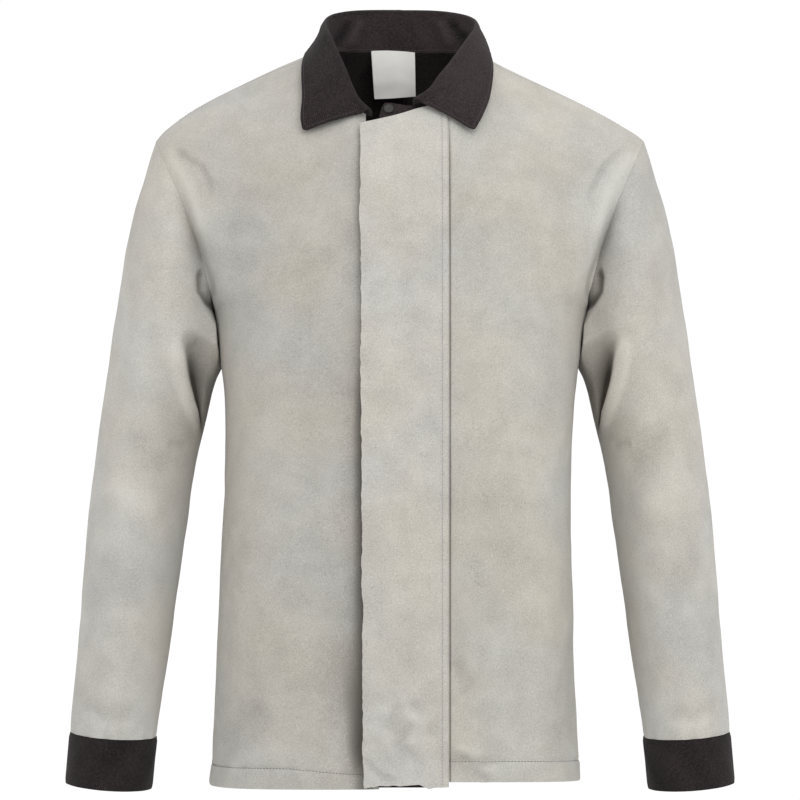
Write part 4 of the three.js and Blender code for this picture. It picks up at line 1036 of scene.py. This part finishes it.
white_satin = satin("white satin tape", "#e2e1dc", "#cfcdc8")
share, rise = np.meshgrid(np.linspace(0, 1, 40), np.linspace(0, 1, 44))
label_size = {name: mix(LABEL_FOOT[name], LABEL_HEAD[name], rise) for name in LABEL_FOOT}
x = label_size["middle"] + (share - 0.5) * label_size["width"]
z = mix(label_size["left"], label_size["right"], share) + LABEL_CROWN * 4 * share * (1 - share) * rise
seam_y = neckline(LEFT, np.degrees(np.arcsin(np.abs(x) / NECK_HALF)))[..., 1]
ripple = waves(x, LABEL_RUN * rise, LABEL_RIPPLE) * (1 - rise)
label_grid = points(x, seam_y - LABEL_CLEAR - LABEL_BOW * np.sin(np.pi * rise) - ripple, z)
made = cloth("neck_label_satin", label_grid, LABEL_WALL, white_satin)
sewn(made, "neck_label", "label_satin", LABEL_CUT, "hung", "back")

# Stitching: rows of lock stitches in grey and black polyester thread along hems, shoulders, flap and
# collar. Each stitch is a small bead that dips into the cloth at both ends.
STITCH_PITCH, STITCH_LENGTH, THREAD = 3.2, 2.5, 0.3
THREAD_SIDES = 6
SEAM_COLUMNS, POINT_COLUMNS = 5, 2
SHOULDER_STITCH, SHOULDER_STITCH_ENDS = 9.0, (84, 222)
EDGE_STITCH, NECK_STITCH = 3.6, 2.0

# Rings of a stitch: place along it in lengths, then size and rise in thread radii
RINGS = np.array(((-0.5, 0.45, -0.5), (-0.25, 1.0, 0.15), (0.25, 1.0, 0.15), (0.5, 0.45, -0.5)))


def thread_fibre(name, pale, dark):
    """Spun polyester thread: dull, with a fine twist along it, drawn at 0.8 mm."""
    twist = 0.0008
    material, tree = bare_material(name)
    place = add(tree, "TexCoord", {}).outputs["Object"]
    twisted = add(tree, "TexWave", {"Vector": place, "Scale": np.pi / (10 * twist)},
                  bands_direction="DIAGONAL").outputs["Fac"]
    colour = add(tree, "Mix", {0: twisted, 6: linear(dark), 7: linear(pale)}, data_type="RGBA").outputs[2]
    shader = add(tree, "BsdfPrincipled", {"Base Color": colour, "Roughness": 0.7})
    add(tree, "OutputMaterial", {"Surface": shader.outputs[0]})
    return material


grey_thread = thread_fibre("grey sewing thread", "#6d6b6f", "#4b494d")
pale_thread = thread_fibre("pale grey sewing thread", "#9a9aa0", "#828288")
black_thread = thread_fibre("black sewing thread", "#443d3f", "#2c2728")


def stitches(name, line, normals, material):
    """Row of stitches along a line on the cloth: equal steps of the line's length, each stitch four
    rings of six points between its tangent and the cloth's normal."""
    length = run(line, 0)
    place = np.arange(STITCH_PITCH, length[-1] - STITCH_PITCH / 2, STITCH_PITCH)
    before, middle, after = (points(*(np.interp(place + shift, length, line[:, k]) for k in range(3)))
                             for shift in (-1, 0, 1))
    tangent = after - before
    tangent /= np.linalg.norm(tangent, axis=-1, keepdims=True)
    normal = points(*(np.interp(place, length, normals[:, k]) for k in range(3)))
    normal /= np.linalg.norm(normal, axis=-1, keepdims=True)
    side = np.cross(tangent, normal)
    turn = np.linspace(0, 2 * np.pi, THREAD_SIDES, endpoint=False)
    section = np.cos(turn)[:, None] * side[:, None, None] + np.sin(turn)[:, None] * normal[:, None, None]
    shift, thick, rise = (RINGS[:, k][None, :, None, None] for k in range(3))
    bead = middle[:, None, None] + tangent[:, None, None] * shift * STITCH_LENGTH
    bead = bead + section * thick * THREAD + normal[:, None, None] * rise * THREAD
    number = np.arange(len(RINGS) * THREAD_SIDES).reshape(-1, THREAD_SIDES)
    first_end = np.array([[3, 2, 1, 0], [5, 4, 3, 0]])
    last_end = np.array([[0, 1, 2, 3], [0, 3, 4, 5]]) + number[-1, 0]
    quads = np.concatenate([tube_quads(number), first_end, last_end])
    quads = (quads + number.size * np.arange(len(place))[:, None, None]).reshape(-1, 4)
    made = piece(name, bead.reshape(-1, 3), quads, material)


def level_line(grid, axis, distance):
    """Line across a grid at a distance along the cloth from its first edge, with its normals."""
    lengths = run(grid, axis)
    normals = facing(grid)
    lines = grid if axis == 0 else grid.swapaxes(0, 1)
    turned = normals if axis == 0 else normals.swapaxes(0, 1)
    lengths = lengths if axis == 0 else lengths.T
    upper = np.clip((lengths < distance).sum(axis=0), 1, len(lengths) - 1)
    column = np.arange(lengths.shape[1])
    low, high = lengths[upper - 1, column], lengths[upper, column]
    share = np.clip((distance - low) / np.maximum(high - low, 1e-9), 0, 1)[:, None]
    line = mix(lines[upper - 1, column], lines[upper, column], share)
    return line, mix(turned[upper - 1, column], turned[upper, column], share)


clear_of_seam = {RIGHT: slice(SEAM_COLUMNS, None), LEFT: slice(None, -SEAM_COLUMNS)}
for side, name in ((RIGHT, "right_hem_stitches"), (LEFT, "left_hem_stitches")):
    kept = clear_of_seam[side]
    stitches(name, *level_line(front_grids[side][:, kept], 0, hem_turns[side][kept]), grey_thread)
stitches("back_hem_stitches", *level_line(back_grid, 0, HEM_TURN), black_thread)
for side, name in ((RIGHT, "right_shoulder_stitches"), (LEFT, "left_shoulder_stitches")):
    top_x = np.abs(front_grids[side][-1, :, 0])
    on_seam = (top_x > SHOULDER_STITCH_ENDS[0]) & (top_x < SHOULDER_STITCH_ENDS[1])
    line, normals = level_line(front_grids[side][::-1, on_seam], 0, SHOULDER_STITCH)
    stitches(name, line, -normals, pale_thread)
line, normals = level_line(flap_grid[:, ::-1], 1, FLAP_STITCH)
stitches("flap_stitches", line, -normals, pale_thread)
line, normals = level_line(collar_grid[::-1], 0, EDGE_STITCH)
inner = slice(POINT_COLUMNS, -POINT_COLUMNS)
stitches("collar_edge_stitches", line[inner], -normals[inner], black_thread)
fall = collar_step > ROLL_END
line, normals = level_line(collar_grid, 1, EDGE_STITCH)
stitches("right_point_stitches", line[fall], normals[fall], black_thread)
line, normals = level_line(collar_grid[:, ::-1], 1, EDGE_STITCH)
stitches("left_point_stitches", line[fall], -normals[fall], black_thread)
stitches("neck_seam_stitches", *level_line(collar_grid, 0, NECK_STITCH), black_thread)

# Stage: a pale floor under the hanging jacket, a white surround that lights it evenly, one large
# soft lamp before it and to its left, and the camera level with its middle.
FLOOR_Z, FLOOR_HALF, FLOOR_ROUGHNESS = -0.95, 1.3, 0.9
floor_corners = FLOOR_HALF * np.array(((-1, -1), (1, -1), (1, 1), (-1, 1)))
floor_mesh = bpy.data.meshes.new("floor")
floor_mesh.from_pydata([(x, y, FLOOR_Z) for x, y in floor_corners], [], [(0, 1, 2, 3)])
floor = bpy.data.objects.new("floor", floor_mesh)
floor_paint, tree = bare_material("white floor paint")
shader = add(tree, "BsdfPrincipled", {"Base Color": linear("#f4f4f2"), "Roughness": FLOOR_ROUGHNESS})
add(tree, "OutputMaterial", {"Surface": shader.outputs[0]})
floor_mesh.materials.append(floor_paint)
bpy.context.scene.collection.objects.link(floor)

SURROUND_STRENGTH = 1.03
world = bpy.data.worlds.new("white surround")
world.use_nodes = True
world.node_tree.nodes["Background"].inputs["Color"].default_value = linear("#ffffff")
world.node_tree.nodes["Background"].inputs["Strength"].default_value = SURROUND_STRENGTH
bpy.context.scene.world = world

LAMP_POWER, LAMP_SIZE = 22.0, 1.4
LAMP_PLACE, LAMP_AIM = np.array((0.55, -2.05, 1.15)), np.array((0.0, 0.0, -0.35))
lamp_data = bpy.data.lights.new("soft lamp", "AREA")
lamp_data.energy = LAMP_POWER
lamp_data.size = LAMP_SIZE
lamp = bpy.data.objects.new("soft lamp", lamp_data)
lamp.location = LAMP_PLACE
aim = LAMP_AIM - LAMP_PLACE
lamp.rotation_euler = (np.arctan2(np.hypot(aim[0], aim[1]), -aim[2]), 0.0, np.arctan2(-aim[0], aim[1]))
bpy.context.scene.collection.objects.link(lamp)

CAMERA_AWAY, CAMERA_Z, FIELD, SENSOR = 2.8, -0.35, 0.8, 36.0
camera_data = bpy.data.cameras.new("camera")
camera_data.sensor_width = SENSOR
camera_data.lens = SENSOR * CAMERA_AWAY / FIELD
camera = bpy.data.objects.new("camera", camera_data)
camera.location = (0.0, -CAMERA_AWAY, CAMERA_Z)
camera.rotation_euler = (np.pi / 2, 0.0, 0.0)
bpy.context.scene.collection.objects.link(camera)
bpy.context.scene.camera = camera
bpy.context.scene.view_settings.view_transform = "Standard"
